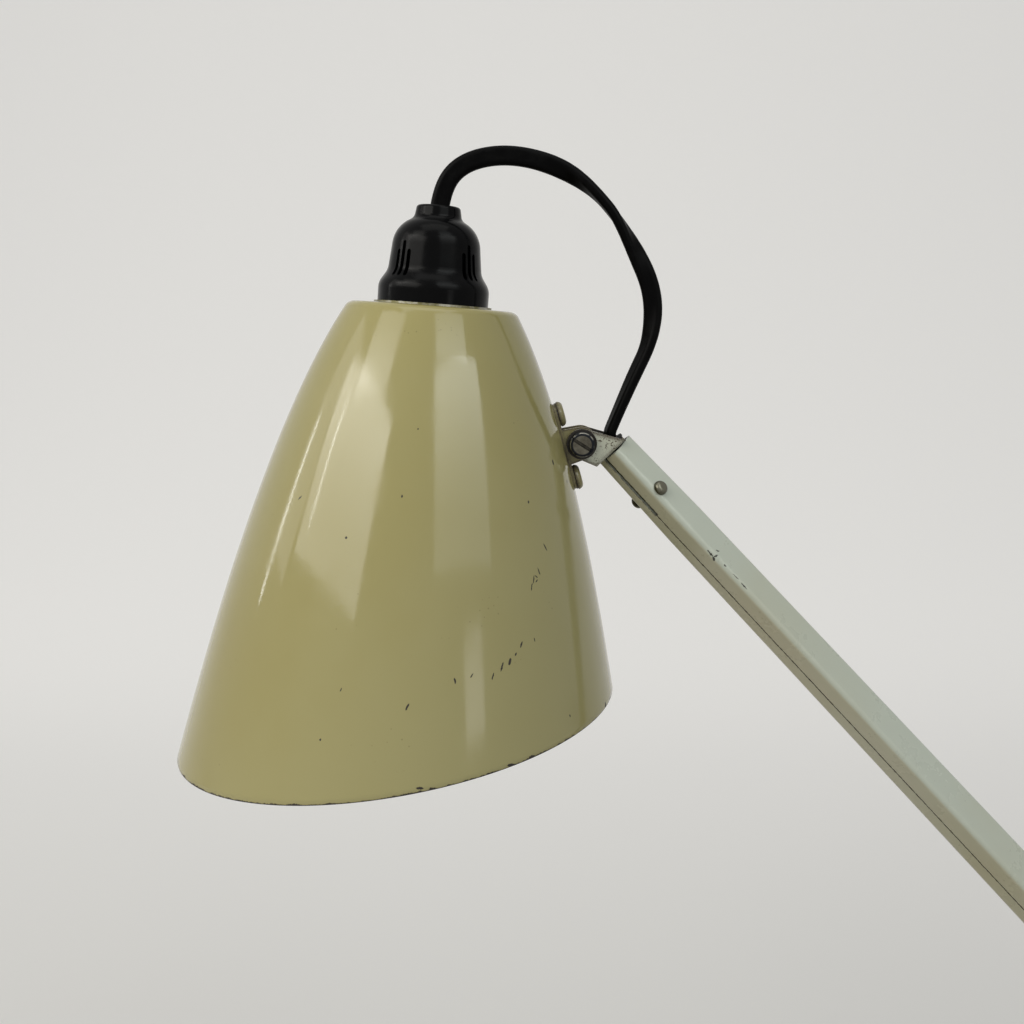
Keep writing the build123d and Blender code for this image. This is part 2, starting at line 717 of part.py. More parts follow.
def lampholder_cap(base):
    # Moulded bell with a skirt, a waist, a rounded shoulder and a neck, and grip grooves in threes.
    up = (0, 1)
    leaning = (cap_shoulder_radius - cap_waist_radius, cap_shoulder_height - cap_waist_height)
    skirt = Polyline((0, 0), (cap_skirt_radius, 0), (cap_skirt_radius, cap_skirt_height))
    sweep_in = Spline(
        (cap_skirt_radius, cap_skirt_height), (cap_waist_radius, cap_waist_height), tangents=(up, leaning)
    )
    side = Line((cap_waist_radius, cap_waist_height), (cap_shoulder_radius, cap_shoulder_height))
    inward = cap_neck_radius - cap_shoulder_radius
    rise = cap_neck_foot - cap_shoulder_height
    crown_radius = cap_shoulder_radius + inward * cap_crown_in_share
    crown_height = cap_shoulder_height + rise * cap_crown_rise_share
    throat_radius = cap_shoulder_radius + inward * cap_throat_in_share
    throat_height = cap_shoulder_height + rise * cap_throat_rise_share
    shoulder = Spline(
        (cap_shoulder_radius, cap_shoulder_height),
        (crown_radius, crown_height),
        (throat_radius, throat_height),
        (cap_neck_radius, cap_neck_foot),
        tangents=(leaning, (-cap_neck_lean_share, 1)),
    )
    neck = Polyline((cap_neck_radius, cap_neck_foot), (cap_lip_radius, cap_height), (0, cap_height), (0, 0))
    body = revolve(Plane.XZ * make_face(skirt + sweep_in + side + shoulder + neck), Axis.Z)
    body = fillet(body.edges().group_by(Axis.Z)[-1], cap_lip_edge)
    body -= rod(cap_waist_radius + 2 * bolt_gap, thread_lap + overrun, -overrun)
    body -= rod(cap_shoulder_radius - cap_wall, cap_cavity_height + overrun, -overrun)
    body -= rod(cord_hole_radius, 2 * cap_height)
    for group in range(groove_groups):
        for step in (-1, 0, 1):
            top = groove_high + (groove_extra if step == 0 else 0)
            outline = Plane.YZ * SlotOverall(top - groove_low, 2 * groove_radius, rotation=90)
            groove = Pos(cap_shoulder_radius - groove_sink, 0, (groove_low + top) / 2)
            groove *= extrude(outline, cap_skirt_radius)
            turn = groove_turn + 360 * group / groove_groups + groove_pitch * step
            body -= Rot(0, 0, turn) * groove
    return Pos(0, 0, base) * body


def lampholder_pieces():
    # Cap over a threaded sleeve, with the shade's top clamped between a washer and a ring.
    sleeve_radius = cap_waist_radius + bolt_gap
    base = holder_washer_height
    pieces["lampholder_cap"] = head_frame * lampholder_cap(base)
    pieces["lampholder_washer"] = head_frame * washer(
        cap_skirt_radius + holder_washer_rim, sleeve_radius + bolt_gap, holder_washer_height
    )
    sleeve_inner = sleeve_radius - sleeve_wall
    top = base + thread_lap - bolt_gap
    sleeve = rod(sleeve_radius, top + sleeve_drop, -sleeve_drop)
    sleeve -= rod(sleeve_inner + ledge_rise, top + ledge_depth + overrun, -ledge_depth)
    sleeve -= rod(sleeve_inner, sleeve_drop + ledge_depth, -sleeve_drop - overrun)
    sleeve += washer(sleeve_radius + sleeve_lip, sleeve_inner, sleeve_lip_height, -sleeve_drop)
    pieces["lampholder_sleeve"] = head_frame * sleeve

    ring = washer(sleeve_radius + ring_rim, sleeve_radius + seat_gap, ring_height, -shade_wall - ring_height)
    for n in range(ring_notch_count):
        notch = Pos(sleeve_radius + ring_rim, 0, -shade_wall - ring_height - overrun)
        notch *= rod(ring_notch_radius, ring_height + 2 * overrun)
        ring -= Rot(0, 0, 360 * n / ring_notch_count) * notch
    pieces["shade_ring"] = head_frame * ring

    block = rod(sleeve_inner + ledge_rise - bolt_gap, top + ledge_depth, -ledge_depth)
    wire_hole = rod(block_hole_radius, sleeve_drop, -ledge_depth - overrun)
    for side in (-1, 1):
        block -= Pos(0, side * sleeve_inner / 2, 0) * wire_hole
    pieces["contact_block"] = head_frame * block

    shell_radius = sleeve_inner - bolt_gap
    shell = rod(shell_radius, shell_drop, -ledge_depth - shell_drop)
    shell -= rod(shell_radius - shell_wall, shell_drop, -ledge_depth - shell_drop - shell_wall)
    shell -= rod(shell_hole_radius, 2 * shell_drop, -ledge_depth - shell_drop)
    pieces["screw_shell"] = head_frame * shell

    tip = -ledge_depth - contact_sheet - contact_drop
    bent = make_face(
        Polyline(
            (-contact_reach, -ledge_depth),
            (-contact_reach, -ledge_depth - contact_sheet),
            (-contact_reach * contact_bend_share, -ledge_depth - contact_sheet),
            (0, tip),
            (contact_reach * contact_tip_share, tip),
            (contact_reach * contact_tip_share, tip + contact_sheet),
            (contact_reach * contact_rise_share, tip + contact_sheet),
            (-contact_reach * contact_inner_share, -ledge_depth),
            close=True,
        )
    )
    pieces["centre_contact"] = head_frame * plate(bent, contact_width)

    cap_radius = shell_radius - shell_wall - bulb_cap_gap
    cap_top = tip - bulb_tip_gap
    cap_shoulder = cap_top - bulb_tip_height
    cap_low = cap_top - bulb_tip_height - bulb_cap_length
    bulb_cap = rod(cap_radius, bulb_cap_length, cap_low)
    bulb_cap += Pos(0, 0, cap_shoulder) * Cone(cap_radius, bulb_tip_radius, bulb_tip_height, align=UP)
    neck_radius = cap_radius - bulb_cap_wall
    bulb_cap -= rod(neck_radius, bulb_neck_lap, cap_low)
    pieces["bulb_cap"] = head_frame * bulb_cap
    neck_top = cap_low + bulb_neck_lap - bulb_cement_gap
    glass_neck = neck_radius - bulb_cement_gap
    envelope = bulb_blank(glass_neck, bulb_radius, neck_top)
    inside = bulb_blank(
        glass_neck - bulb_glass_wall, bulb_radius - bulb_glass_wall, neck_top - bulb_glass_wall
    )
    pieces["bulb_glass"] = head_frame * (envelope - inside)


def bulb_blank(neck, radius, top):
    # A round bulb with a smooth neck.
    down = (0, -1)
    neck_end = (neck, top - bulb_neck_lap)
    side = Spline((neck, top), neck_end, (radius, -bulb_centre_drop), tangents=(down, down))
    crown = RadiusArc((radius, -bulb_centre_drop), (0, -bulb_centre_drop - radius), radius)
    close = Polyline((0, -bulb_centre_drop - radius), (0, top), (neck, top))
    return revolve(Plane.XZ * make_face(side + crown + close), Axis.Z)


def flex_piece():
    # Straight runs with an arc at each corner, as large as its two runs allow, ending inside the stem.
    base = holder_washer_height
    mouth = head_frame.inverse() * tube_end_frame
    points = [Vector(x, 0, z + base) for x, z in flex_points]
    points.append((mouth * Pos(0, 0, flex_turn_ahead)).position)
    points.append((mouth * Pos(0, 0, -flex_in_stem)).position)
    radii = []
    for before, corner, after in zip(points, points[1:], points[2:]):
        run = min((corner - before).length, (after - corner).length)
        turn = (corner - before).get_angle(after - corner)
        radii.append(flex_bend_share * run / tan(radians(turn / 2)))
    path = FilletPolyline(*points, radius=radii)
    section = Plane(origin=points[0], z_dir=points[1] - points[0]) * Circle(flex_radius)
    flex = sweep(section, path=path)
    pieces["head_flex"] = head_frame * flex
    ideal = pi * flex_radius**2 * path.length
    print("flex length", round(path.length, 1), "radii", [round(r, 1) for r in radii])
    print("flex volume share", round(flex.volume / ideal, 4))
    print("flex points", [tuple(round(c, 1) for c in (head_frame * Pos(*p)).position) for p in points])


top_under, recess_top = base_pieces()
switch_pieces(top_under)
turret_pieces(recess_top)
pivot_hardware("foot", Pos(0, 0, foot_pivot_height))
pivot_hardware("elbow", Pos(*elbow_point))
arm_pieces()
knuckle_pieces()
shade_pieces()
lampholder_pieces()
flex_piece()

frames = {"elbow": elbow_frame, "tube end": tube_end_frame, "tilt": tilt_frame, "head": head_frame}
for name, place in frames.items():
    print(name, [round(c, 3) for c in place.position])

os.makedirs("parts", exist_ok=True)
for name, shape in pieces.items():
    export_step(shape, f"parts/{name}.step")
print(len(pieces), "nodes")
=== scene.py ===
from math import atan2, cos, pi, radians, sin, sqrt, tan

import bmesh
import bpy
from mathutils import Matrix, Vector


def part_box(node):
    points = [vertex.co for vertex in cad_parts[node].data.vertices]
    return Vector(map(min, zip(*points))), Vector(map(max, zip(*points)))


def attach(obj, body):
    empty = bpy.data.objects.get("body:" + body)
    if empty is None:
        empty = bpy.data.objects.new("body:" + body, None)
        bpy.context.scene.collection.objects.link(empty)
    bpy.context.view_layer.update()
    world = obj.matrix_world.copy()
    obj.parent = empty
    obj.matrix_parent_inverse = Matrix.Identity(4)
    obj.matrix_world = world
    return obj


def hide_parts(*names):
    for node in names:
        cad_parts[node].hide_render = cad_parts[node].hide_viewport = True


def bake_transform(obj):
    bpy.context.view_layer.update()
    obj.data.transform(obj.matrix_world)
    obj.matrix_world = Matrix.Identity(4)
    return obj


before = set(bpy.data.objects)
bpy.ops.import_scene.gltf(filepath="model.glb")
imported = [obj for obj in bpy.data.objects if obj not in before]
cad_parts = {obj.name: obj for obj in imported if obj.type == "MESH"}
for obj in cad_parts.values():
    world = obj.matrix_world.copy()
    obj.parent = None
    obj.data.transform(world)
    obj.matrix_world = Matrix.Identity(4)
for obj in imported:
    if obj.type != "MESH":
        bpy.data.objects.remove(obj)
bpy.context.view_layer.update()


# Felt pad under the base: a die-cut disc of green wool felt, glued to the iron weight.
# Fine crossed fibres, a little lighter where it has rubbed on desks.


def fill(node, sockets):
    """Give a node's input sockets plain values, or link them to other nodes."""
    for name, value in sockets.items():
        if isinstance(value, bpy.types.NodeSocket):
            node.id_data.links.new(value, node.inputs[name])
        else:
            node.inputs[name].default_value = value


def put(tree, kind, sockets, **settings):
    """A new shader node, with its settings made and its sockets filled."""
    made = tree.nodes.new("ShaderNode" + kind)
    for name, value in settings.items():
        setattr(made, name, value)
    fill(made, sockets)
    return made


def object_place(tree):
    """Where a point of the surface lies in the lamp's own frame."""
    return put(tree, "TexCoord", {}).outputs["Object"]


def noise(tree, place, scale, detail, roughness=0.5):
    """Cloudy noise over a surface, from 0 to 1."""
    sockets = {"Vector": place, "Scale": scale, "Detail": detail, "Roughness": roughness}
    return put(tree, "TexNoise", sockets).outputs[0]


def mixed(tree, share, first, second, blend="MIX"):
    """Two colours mixed by a share; the Mix node has its colours on sockets 6 and 7."""
    sockets = {0: share, 6: first, 7: second}
    return put(tree, "Mix", sockets, data_type="RGBA", blend_type=blend).outputs[2]


def shaped(tree, value, low, high, to_low=0.0, to_high=1.0):
    """A value eased from one span to another."""
    sockets = {
        "Value": value,
        "From Min": low,
        "From Max": high,
        "To Min": to_low,
        "To Max": to_high,
    }
    return put(tree, "MapRange", sockets, interpolation_type="SMOOTHSTEP").outputs[0]


def sums(tree, operation, *values):
    """A sum done on values, point by point."""
    return put(tree, "Math", dict(enumerate(values)), operation=operation).outputs[0]


def bumped(tree, height, strength, distance):
    """A normal that follows a height, for relief finer than the mesh."""
    sockets = {"Height": height, "Strength": strength, "Distance": distance}
    return put(tree, "Bump", sockets).outputs[0]


def finish_for(name):
    """A material with its tree and its Principled shader."""
    made = bpy.data.materials.new(name)
    made.use_nodes = True
    return made, made.node_tree, made.node_tree.nodes["Principled BSDF"]


def dress(material, *nodes):
    """Give a material to solids that are shown as they are."""
    for name in nodes:
        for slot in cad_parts[name].material_slots:
            slot.material = material


deep_green = (0.016, 0.045, 0.024, 1)
rubbed_green = (0.05, 0.11, 0.065, 1)
fibre_height = 0.7
felt, tree, shader = finish_for("green_felt")
place = object_place(tree)
fibres = noise(tree, place, scale=2600.0, detail=5.0, roughness=0.75)
tufts = noise(tree, place, scale=240.0, detail=3.0)
pile = sums(tree, "MULTIPLY_ADD", fibres, fibre_height, tufts)
fill(
    shader,
    {
        "Base Color": mixed(tree, shaped(tree, pile, 0.55, 1.15), deep_green, rubbed_green),
        "Roughness": 0.95,
        "Sheen Weight": 0.4,
        "Normal": bumped(tree, pile, strength=0.7, distance=0.0004),
    },
)
dress(felt, "base_felt")


# Iron weight in the base: a sand casting, left black and rough, hidden under the spun cover.
# The grain of the sand shows all over, with a bloom of rust in patches.
iron_black = (0.022, 0.022, 0.023, 1)
iron_rust = (0.085, 0.036, 0.016, 1)
iron, tree, shader = finish_for("sand_cast_iron")
place = object_place(tree)
sand = noise(tree, place, scale=900.0, detail=6.0, roughness=0.7)
bloom = noise(tree, place, scale=45.0, detail=5.0)
fill(
    shader,
    {
        "Base Color": mixed(tree, shaped(tree, bloom, 0.52, 0.72), iron_black, iron_rust),
        "Roughness": shaped(tree, sand, 0.3, 0.7, 0.55, 0.9),
        "Metallic": 0.6,
        "Normal": bumped(tree, sand, strength=0.8, distance=0.0006),
    },
)
dress(iron, "base_weight")


# Base cover: spun steel, sprayed with the same cream lacquer as the shade.
# The lacquer has yellowed, has a fine orange peel, and is rubbed through on its edges.
NUMBER, COLOUR, VECTOR = "NodeSocketFloat", "NodeSocketColor", "NodeSocketVector"


def effect(name, inputs, outputs):
    """A shader node group with named sockets: its tree, what it is given, and its output node."""
    made = bpy.data.node_groups.new(name, "ShaderNodeTree")
    for label, kind, value in inputs:
        made.interface.new_socket(label, in_out="INPUT", socket_type=kind).default_value = value
    for label, kind in outputs:
        made.interface.new_socket(label, in_out="OUTPUT", socket_type=kind)
    given = made.nodes.new("NodeGroupInput").outputs
    return made, given, made.nodes.new("NodeGroupOutput")


def from_group(tree, group, sockets):
    """What a node group puts out in a material that gives it these values."""
    return put(tree, "Group", sockets, node_tree=group).outputs


def vectors(tree, operation, *values):
    """A sum done on vectors; a length or a dot product comes out as a number."""
    made = put(tree, "VectorMath", dict(enumerate(values)), operation=operation)
    return made.outputs["Value" if operation in ("LENGTH", "DOT_PRODUCT") else "Vector"]


# Where two faces meet, paint is rubbed away in patches.
edge_wear, given, result = effect(
    "edge_wear",
    [("Radius", NUMBER, 0.0008), ("Grain", NUMBER, 700.0), ("Amount", NUMBER, 0.5)],
    [("Mask", NUMBER)],
)
tree = edge_wear
round_normal = put(tree, "Bevel", {"Radius": given["Radius"]}, samples=6).outputs[0]
flat_normal = put(tree, "NewGeometry", {}).outputs["Normal"]
corner = shaped(tree, vectors(tree, "DOT_PRODUCT", round_normal, flat_normal), 0.995, 0.8)
patches = noise(tree, object_place(tree), given["Grain"], detail=4.0, roughness=0.65)
reach = sums(tree, "MULTIPLY", corner, given["Amount"])
bare = shaped(tree, sums(tree, "ADD", patches, reach), 0.72, 0.8)
fill(result, {"Mask": sums(tree, "MULTIPLY", bare, shaped(tree, corner, 0.02, 0.2))})

# Grime and painted shade where faces close in on each other, such as slots and corners: the less of
# the room a point sees, the darker.
crevice_grime_and_shade, given, result = effect(
    "crevice_grime_and_shade", [("Distance", NUMBER, 0.0015)], [("Mask", NUMBER)]
)
tree = crevice_grime_and_shade
openness = put(
    tree, "AmbientOcclusion", {"Distance": given["Distance"]}, samples=6, only_local=True
).outputs["AO"]
fill(result, {"Mask": shaped(tree, openness, 0.72, 0.3)})

# Old lacquer: uneven tone, fine specks of dirt, and gloss that differs from place to place.
aged_lacquer, given, result = effect(
    "aged_lacquer",
    [
        ("Colour", COLOUR, (0.5, 0.5, 0.5, 1)),
        ("Yellowed", COLOUR, (0.5, 0.5, 0.4, 1)),
        ("Dirt", COLOUR, (0.05, 0.04, 0.03, 1)),
        ("Cloud scale", NUMBER, 14.0),
        ("Speck scale", NUMBER, 420.0),
        ("Speck amount", NUMBER, 0.3),
        ("Roughness", NUMBER, 0.25),
    ],
    [("Colour", COLOUR), ("Roughness", NUMBER), ("Height", NUMBER)],
)
tree = aged_lacquer
place = object_place(tree)
cloud = noise(tree, place, given["Cloud scale"], detail=4.0)
toned = mixed(tree, shaped(tree, cloud, 0.35, 0.68), given["Colour"], given["Yellowed"])
cells = put(tree, "TexVoronoi", {"Vector": place, "Scale": given["Speck scale"]})
thin = noise(tree, place, scale=70.0, detail=2.0)
dots = shaped(tree, cells.outputs["Distance"], 0.16, 0.06)
specks = sums(tree, "MULTIPLY", dots, shaped(tree, thin, 0.6, 0.72))
specks = sums(tree, "MULTIPLY", specks, given["Speck amount"])
haze = noise(tree, place, scale=30.0, detail=6.0, roughness=0.7)
dulled = sums(tree, "ADD", given["Roughness"], shaped(tree, haze, 0.4, 0.75, -0.03, 0.1))
fill(
    result,
    {
        "Colour": mixed(tree, specks, toned, given["Dirt"]),
        "Roughness": dulled,
        "Height": noise(tree, place, scale=380.0, detail=2.0),
    },
)

# Lacquer is darkened in its crevices, partly dirt and partly painted shade.
corner_dirt_and_shade = (0.02, 0.014, 0.009, 1)
rubbed_dulling = 0.35


def lacquer(
    name, colour, yellowed, bare_metal, wear, radius, roughness, specks=0.3, grime_and_shade_reach=0.0012
):
    """An aged lacquer over steel, rubbed through on its edges, and darkened in its crevices with
    dirt and painted shade.
    """
    made, tree, shader = finish_for(name)
    skin = from_group(
        tree,
        aged_lacquer,
        {
            "Colour": colour,
            "Yellowed": yellowed,
            "Dirt": bare_metal,
            "Speck amount": specks,
            "Roughness": roughness,
        },
    )
    rubbed = from_group(tree, edge_wear, {"Amount": wear, "Radius": radius})["Mask"]
    grimy_and_shaded = from_group(tree, crevice_grime_and_shade, {"Distance": grime_and_shade_reach})["Mask"]
    painted = mixed(tree, grimy_and_shaded, skin["Colour"], corner_dirt_and_shade)
    worn_height = sums(tree, "SUBTRACT", skin["Height"], rubbed)
    fill(
        shader,
        {
            "Base Color": mixed(tree, rubbed, painted, bare_metal),
            "Roughness": sums(tree, "MULTIPLY_ADD", rubbed, rubbed_dulling, skin["Roughness"]),
            "Coat Weight": 0.25,
            "Coat Roughness": 0.12,
            "Normal": bumped(tree, worn_height, strength=0.06, distance=0.0004),
        },
    )
    return made, tree, shader


cream = (0.36, 0.325, 0.145, 1)
cream_yellowed = (0.335, 0.295, 0.115, 1)
brown_primer = (0.06, 0.04, 0.025, 1)
base_cream, tree, shader = lacquer(
    "base_cream_lacquer",
    cream,
    cream_yellowed,
    brown_primer,
    wear=0.35,
    radius=0.0006,
    roughness=0.24,
)
dress(base_cream, "base_cover")


# Turning bush, its nut, the spindle with its washer and nut: turned from plated steel bar.
# A grey bloom on the plating, fine grain, and dark grease with painted shade in the corners.
worked_metal, given, result = effect(
    "worked_metal",
    [
        ("Metal", COLOUR, (0.5, 0.5, 0.5, 1)),
        ("Tarnish", COLOUR, (0.15, 0.13, 0.1, 1)),
        ("Tarnish amount", NUMBER, 0.5),
        ("Roughness", NUMBER, 0.3),
        ("Stain scale", NUMBER, 160.0),
    ],
    [("Colour", COLOUR), ("Roughness", NUMBER), ("Height", NUMBER)],
)
tree = worked_metal
stain_dulling = 0.3
place = object_place(tree)
stain = noise(tree, place, given["Stain scale"], detail=6.0, roughness=0.7)
stained = sums(tree, "MULTIPLY", shaped(tree, stain, 0.42, 0.66), given["Tarnish amount"])
grain = noise(tree, place, scale=2200.0, detail=3.0)
worn = sums(tree, "MULTIPLY_ADD", stained, stain_dulling, given["Roughness"])
fill(
    result,
    {
        "Colour": mixed(tree, stained, given["Metal"], given["Tarnish"]),
        "Roughness": sums(tree, "ADD", worn, shaped(tree, grain, 0.3, 0.7, -0.05, 0.05)),
        "Height": sums(tree, "ADD", grain, stain),
    },
)

# Near black in corners and slots: grease and painted shade.
grease_and_shade = (0.006, 0.005, 0.004, 1)
grease_and_shade_reach = 0.0018


def metal(name, colour, tarnish, amount, roughness, metallic=1.0):
    """A bare or plated metal with a tarnish, and grease and painted shade in its corners."""
    made, tree, shader = finish_for(name)
    skin = from_group(
        tree,
        worked_metal,
        {"Metal": colour, "Tarnish": tarnish, "Tarnish amount": amount, "Roughness": roughness},
    )
    grimy_and_shaded = from_group(tree, crevice_grime_and_shade, {"Distance": grease_and_shade_reach})["Mask"]
    fill(
        shader,
        {
            "Base Color": mixed(tree, grimy_and_shaded, skin["Colour"], grease_and_shade),
            "Roughness": skin["Roughness"],
            "Metallic": metallic,
            "Normal": bumped(tree, skin["Height"], strength=0.15, distance=0.0002),
        },
    )
    return made


plated_steel = metal(
    "plated_steel", (0.46, 0.45, 0.42, 1), (0.12, 0.1, 0.07, 1), amount=0.6, roughness=0.28
)
dress(
    plated_steel,
    "spindle_bush",
    "bush_nut",
    "fork_spindle",
    "spindle_spring_washer",
    "spindle_nut",
)


# Rubber bush where the lead would enter the base: moulded, matt black, chalky with age.
# Its two flanges grip the cover's wall from outside and inside.
rubber_black = (0.012, 0.012, 0.012, 1)
rubber_chalk = (0.035, 0.034, 0.032, 1)
bush_rubber, tree, shader = finish_for("black_rubber")
chalk = noise(tree, object_place(tree), scale=300.0, detail=5.0)
fill(
    shader,
    {
        "Base Color": mixed(tree, shaped(tree, chalk, 0.5, 0.75), rubber_black, rubber_chalk),
        "Roughness": shaped(tree, chalk, 0.3, 0.7, 0.55, 0.8),
        "Normal": bumped(tree, chalk, strength=0.2, distance=0.0003),
    },
)
dress(bush_rubber, "lead_inlet_bush")


# Push switch in the base: black moulded body and button, clamped by a turned aluminium bezel.
# The moulding is polished, with a little dust; the bezel's metal is bright and slightly stained.
moulded_black = (0.0022, 0.0023, 0.0026, 1)
dusted_black = (0.006, 0.0055, 0.005, 1)
phenolic, tree, shader = finish_for("black_phenolic")
place = object_place(tree)
dust = noise(tree, place, scale=120.0, detail=6.0, roughness=0.75)
flow = noise(tree, place, scale=260.0, detail=3.0)
fill(
    shader,
    {
        "Base Color": mixed(tree, shaped(tree, dust, 0.55, 0.85), moulded_black, dusted_black),
        "Roughness": shaped(tree, dust, 0.35, 0.75, 0.15, 0.28),
        "Specular IOR Level": 0.07,
        "Normal": bumped(tree, flow, strength=0.05, distance=0.0004),
    },
)
dress(phenolic, "switch_body", "switch_button")
turned_aluminium = metal(
    "turned_aluminium", (0.66, 0.66, 0.65, 1), (0.3, 0.29, 0.27, 1), amount=0.4, roughness=0.26
)
dress(turned_aluminium, "switch_bezel")


# Fork on the base: a grey-white lacquered steel fork that turns with the lamp.
# Red fibre washers and discs run between it and what it turns on.
white = (0.53, 0.57, 0.49, 1)
white_yellowed = (0.51, 0.53, 0.43, 1)
rust_edge = (0.05, 0.032, 0.02, 1)
arm_white, tree, shader = lacquer(
    "arm_white_lacquer",
    white,
    white_yellowed,
    rust_edge,
    wear=0.28,
    radius=0.0005,
    roughness=0.3,
)
dress(arm_white, "base_fork")

fibre_dark = (0.05, 0.016, 0.009, 1)
fibre_red = (0.11, 0.035, 0.018, 1)
fibre, tree, shader = finish_for("vulcanised_fibre")
matted = noise(tree, object_place(tree), scale=800.0, detail=5.0, roughness=0.7)
fill(
    shader,
    {
        "Base Color": mixed(tree, shaped(tree, matted, 0.35, 0.7), fibre_dark, fibre_red),
        "Roughness": shaped(tree, matted, 0.3, 0.7, 0.55, 0.75),
    },
)
dress(fibre, "turret_washer", "foot_fibre_discs", "elbow_fibre_discs", "tilt_fibre_discs")


# Pivot screws at the foot and the elbow: slotted cheese heads, blackened washers, plated nuts.
# The plating is dull, and its slots are darkened with dirt and painted shade.
screw_steel = metal(
    "screw_steel", (0.36, 0.35, 0.32, 1), (0.07, 0.055, 0.04, 1), amount=0.75, roughness=0.34
)
dress(screw_steel, "foot_screw", "foot_nut", "elbow_screw", "elbow_nut")
black_steel = metal(
    "blackened_steel",
    (0.05, 0.046, 0.042, 1),
    (0.015, 0.013, 0.012, 1),
    amount=0.6,
    roughness=0.42,
)
dress(black_steel, "foot_washer", "elbow_washer", "tilt_washer")


# Arms: sheet steel folded to a square tube, set on edge, with the butt seam left open on one face.
# Forged end fittings are plugged in and cross-pinned. All are sprayed grey-white, and the upper
# arm is chipped on its fold.
dress(arm_white, "foot_tongue", "lower_arm_tube", "elbow_clevis", "elbow_tongue")
dress(screw_steel, "lower_arm_pins", "upper_arm_pin")


def turned(tree, vector, axis, angle):
    """A vector turned about one of the axes."""
    sockets = {"Vector": vector, "Angle": angle}
    return put(tree, "VectorRotate", sockets, rotation_type=axis).outputs[0]


def parts_of(tree, vector):
    """A vector's three numbers."""
    return put(tree, "SeparateXYZ", {"Vector": vector}).outputs


# One chip: the least of the distance so far and its own, which is 1 on the chip's edge.
far_from_chips = 9.0
chip_outer_edge, chip_inner_edge = 1.15, 0.85
chip, given, result = effect(
    "chip",
    [
        ("Place", VECTOR, (0, 0, 0)),
        ("Centre", VECTOR, (0, 0, 0)),
        ("Stretch", VECTOR, (1, 1, 1)),
        ("Lean", NUMBER, 0.0),
        ("Half size", VECTOR, (1, 1, 1)),
        ("So far", NUMBER, far_from_chips),
    ],
    [("Distance", NUMBER)],
)
offset = vectors(chip, "SUBTRACT", given["Place"], given["Centre"])
level = vectors(chip, "MULTIPLY", offset, given["Stretch"])
upright = turned(chip, level, "Z_AXIS", given["Lean"])
away = vectors(chip, "LENGTH", vectors(chip, "DIVIDE", upright, given["Half size"]))
fill(result, {"Distance": sums(chip, "MINIMUM", away, given["So far"])})


def chips_on(tree, place, chips):
    """The mask of many chips, each with a centre, a stretch, a half size and a lean in degrees."""
    nearest = far_from_chips
    for centre, stretch, half_size, lean in chips:
        sockets = {
            "Place": place,
            "Centre": centre,
            "Stretch": stretch,
            "Lean": radians(lean),
            "Half size": half_size,
            "So far": nearest,
        }
        nearest = from_group(tree, chip, sockets)["Distance"]
    return shaped(tree, nearest, chip_outer_edge, chip_inner_edge)


def strayed(tree, onto, scale, spread):
    """Places moved about by fine noise, so that what is drawn on them has a ragged edge."""
    sockets = {"Vector": object_place(tree), "Scale": scale, "Detail": 3.0}
    ragged = put(tree, "TexNoise", sockets).outputs["Color"]
    shift = vectors(tree, "ADD", ragged, (-0.5, -0.5, -0.5))
    return vectors(tree, "MULTIPLY_ADD", shift, spread, onto)


def coat_of(shader):
    """The colour that a shader has been given so far."""
    return shader.inputs["Base Color"].links[0].from_socket


# Chips on the front fold, in mm and degrees: distance from the elbow, height over the fold,
# half length, half width and lean.
arm_chips = [
    (327.4, -0.36, 1.7, 0.3, 0),
    (324.9, -0.75, 0.9, 0.45, -25),
    (325.3, 0.54, 0.8, 0.28, -112),
    (326.0, 2.33, 0.8, 0.2, 24),
    (320.2, 0.59, 0.7, 0.25, 0),
    (314.2, 0.69, 1.6, 0.16, 3),
    (309.4, 0.52, 1.8, 0.24, 0),
    (304.8, 8.0, 0.35, 0.3, 0),
]
elbow_point = Vector((0.165, 0, 0.345788))
arm_rise = radians(46.55)
fold_reach = 0.0085
chip_depth = 0.006
# How far into the slot and seam the dirt and painted shade reach.
slot_grime_and_shade = 0.006
chip_ragging = (0.0009, 0.0009, 0)
underside_shade_tan = (0.95, 0.86, 0.75, 1)
chip_dark = (0.03, 0.03, 0.024, 1)
chipped_arm, tree, shader = lacquer(
    "upper_arm_white_lacquer",
    white,
    white_yellowed,
    rust_edge,
    wear=0.28,
    radius=0.0008,
    roughness=0.3,
    grime_and_shade_reach=slot_grime_and_shade,
)
from_elbow = vectors(tree, "SUBTRACT", object_place(tree), elbow_point)
levelled = parts_of(tree, turned(tree, from_elbow, "Y_AXIS", pi - arm_rise))
over_fold = sums(tree, "MULTIPLY", levelled["Z"], -1.0)
on_arm = put(
    tree, "CombineXYZ", {"X": levelled["X"], "Y": over_fold, "Z": levelled["Y"]}
).outputs[0]
chipped = chips_on(
    tree,
    strayed(tree, on_arm, scale=1600.0, spread=chip_ragging),
    [
        (
            (along / 1000, height / 1000, -fold_reach),
            (1, 1, 1),
            (half_length / 1000, half_width / 1000, chip_depth),
            lean,
        )
        for along, height, half_length, half_width, lean in arm_chips
    ],
)
# Faces that look downward are darkened and warmed: painted shade.
facing_up = parts_of(tree, put(tree, "TexCoord", {}).outputs["Normal"])["Z"]
underside_shade = shaped(tree, facing_up, -0.1, -0.4)
underside_shaded = mixed(tree, underside_shade, coat_of(shader), underside_shade_tan, "MULTIPLY")
fill(shader, {"Base Color": mixed(tree, chipped, underside_shaded, chip_dark)})
dress(chipped_arm, "upper_arm_tube")


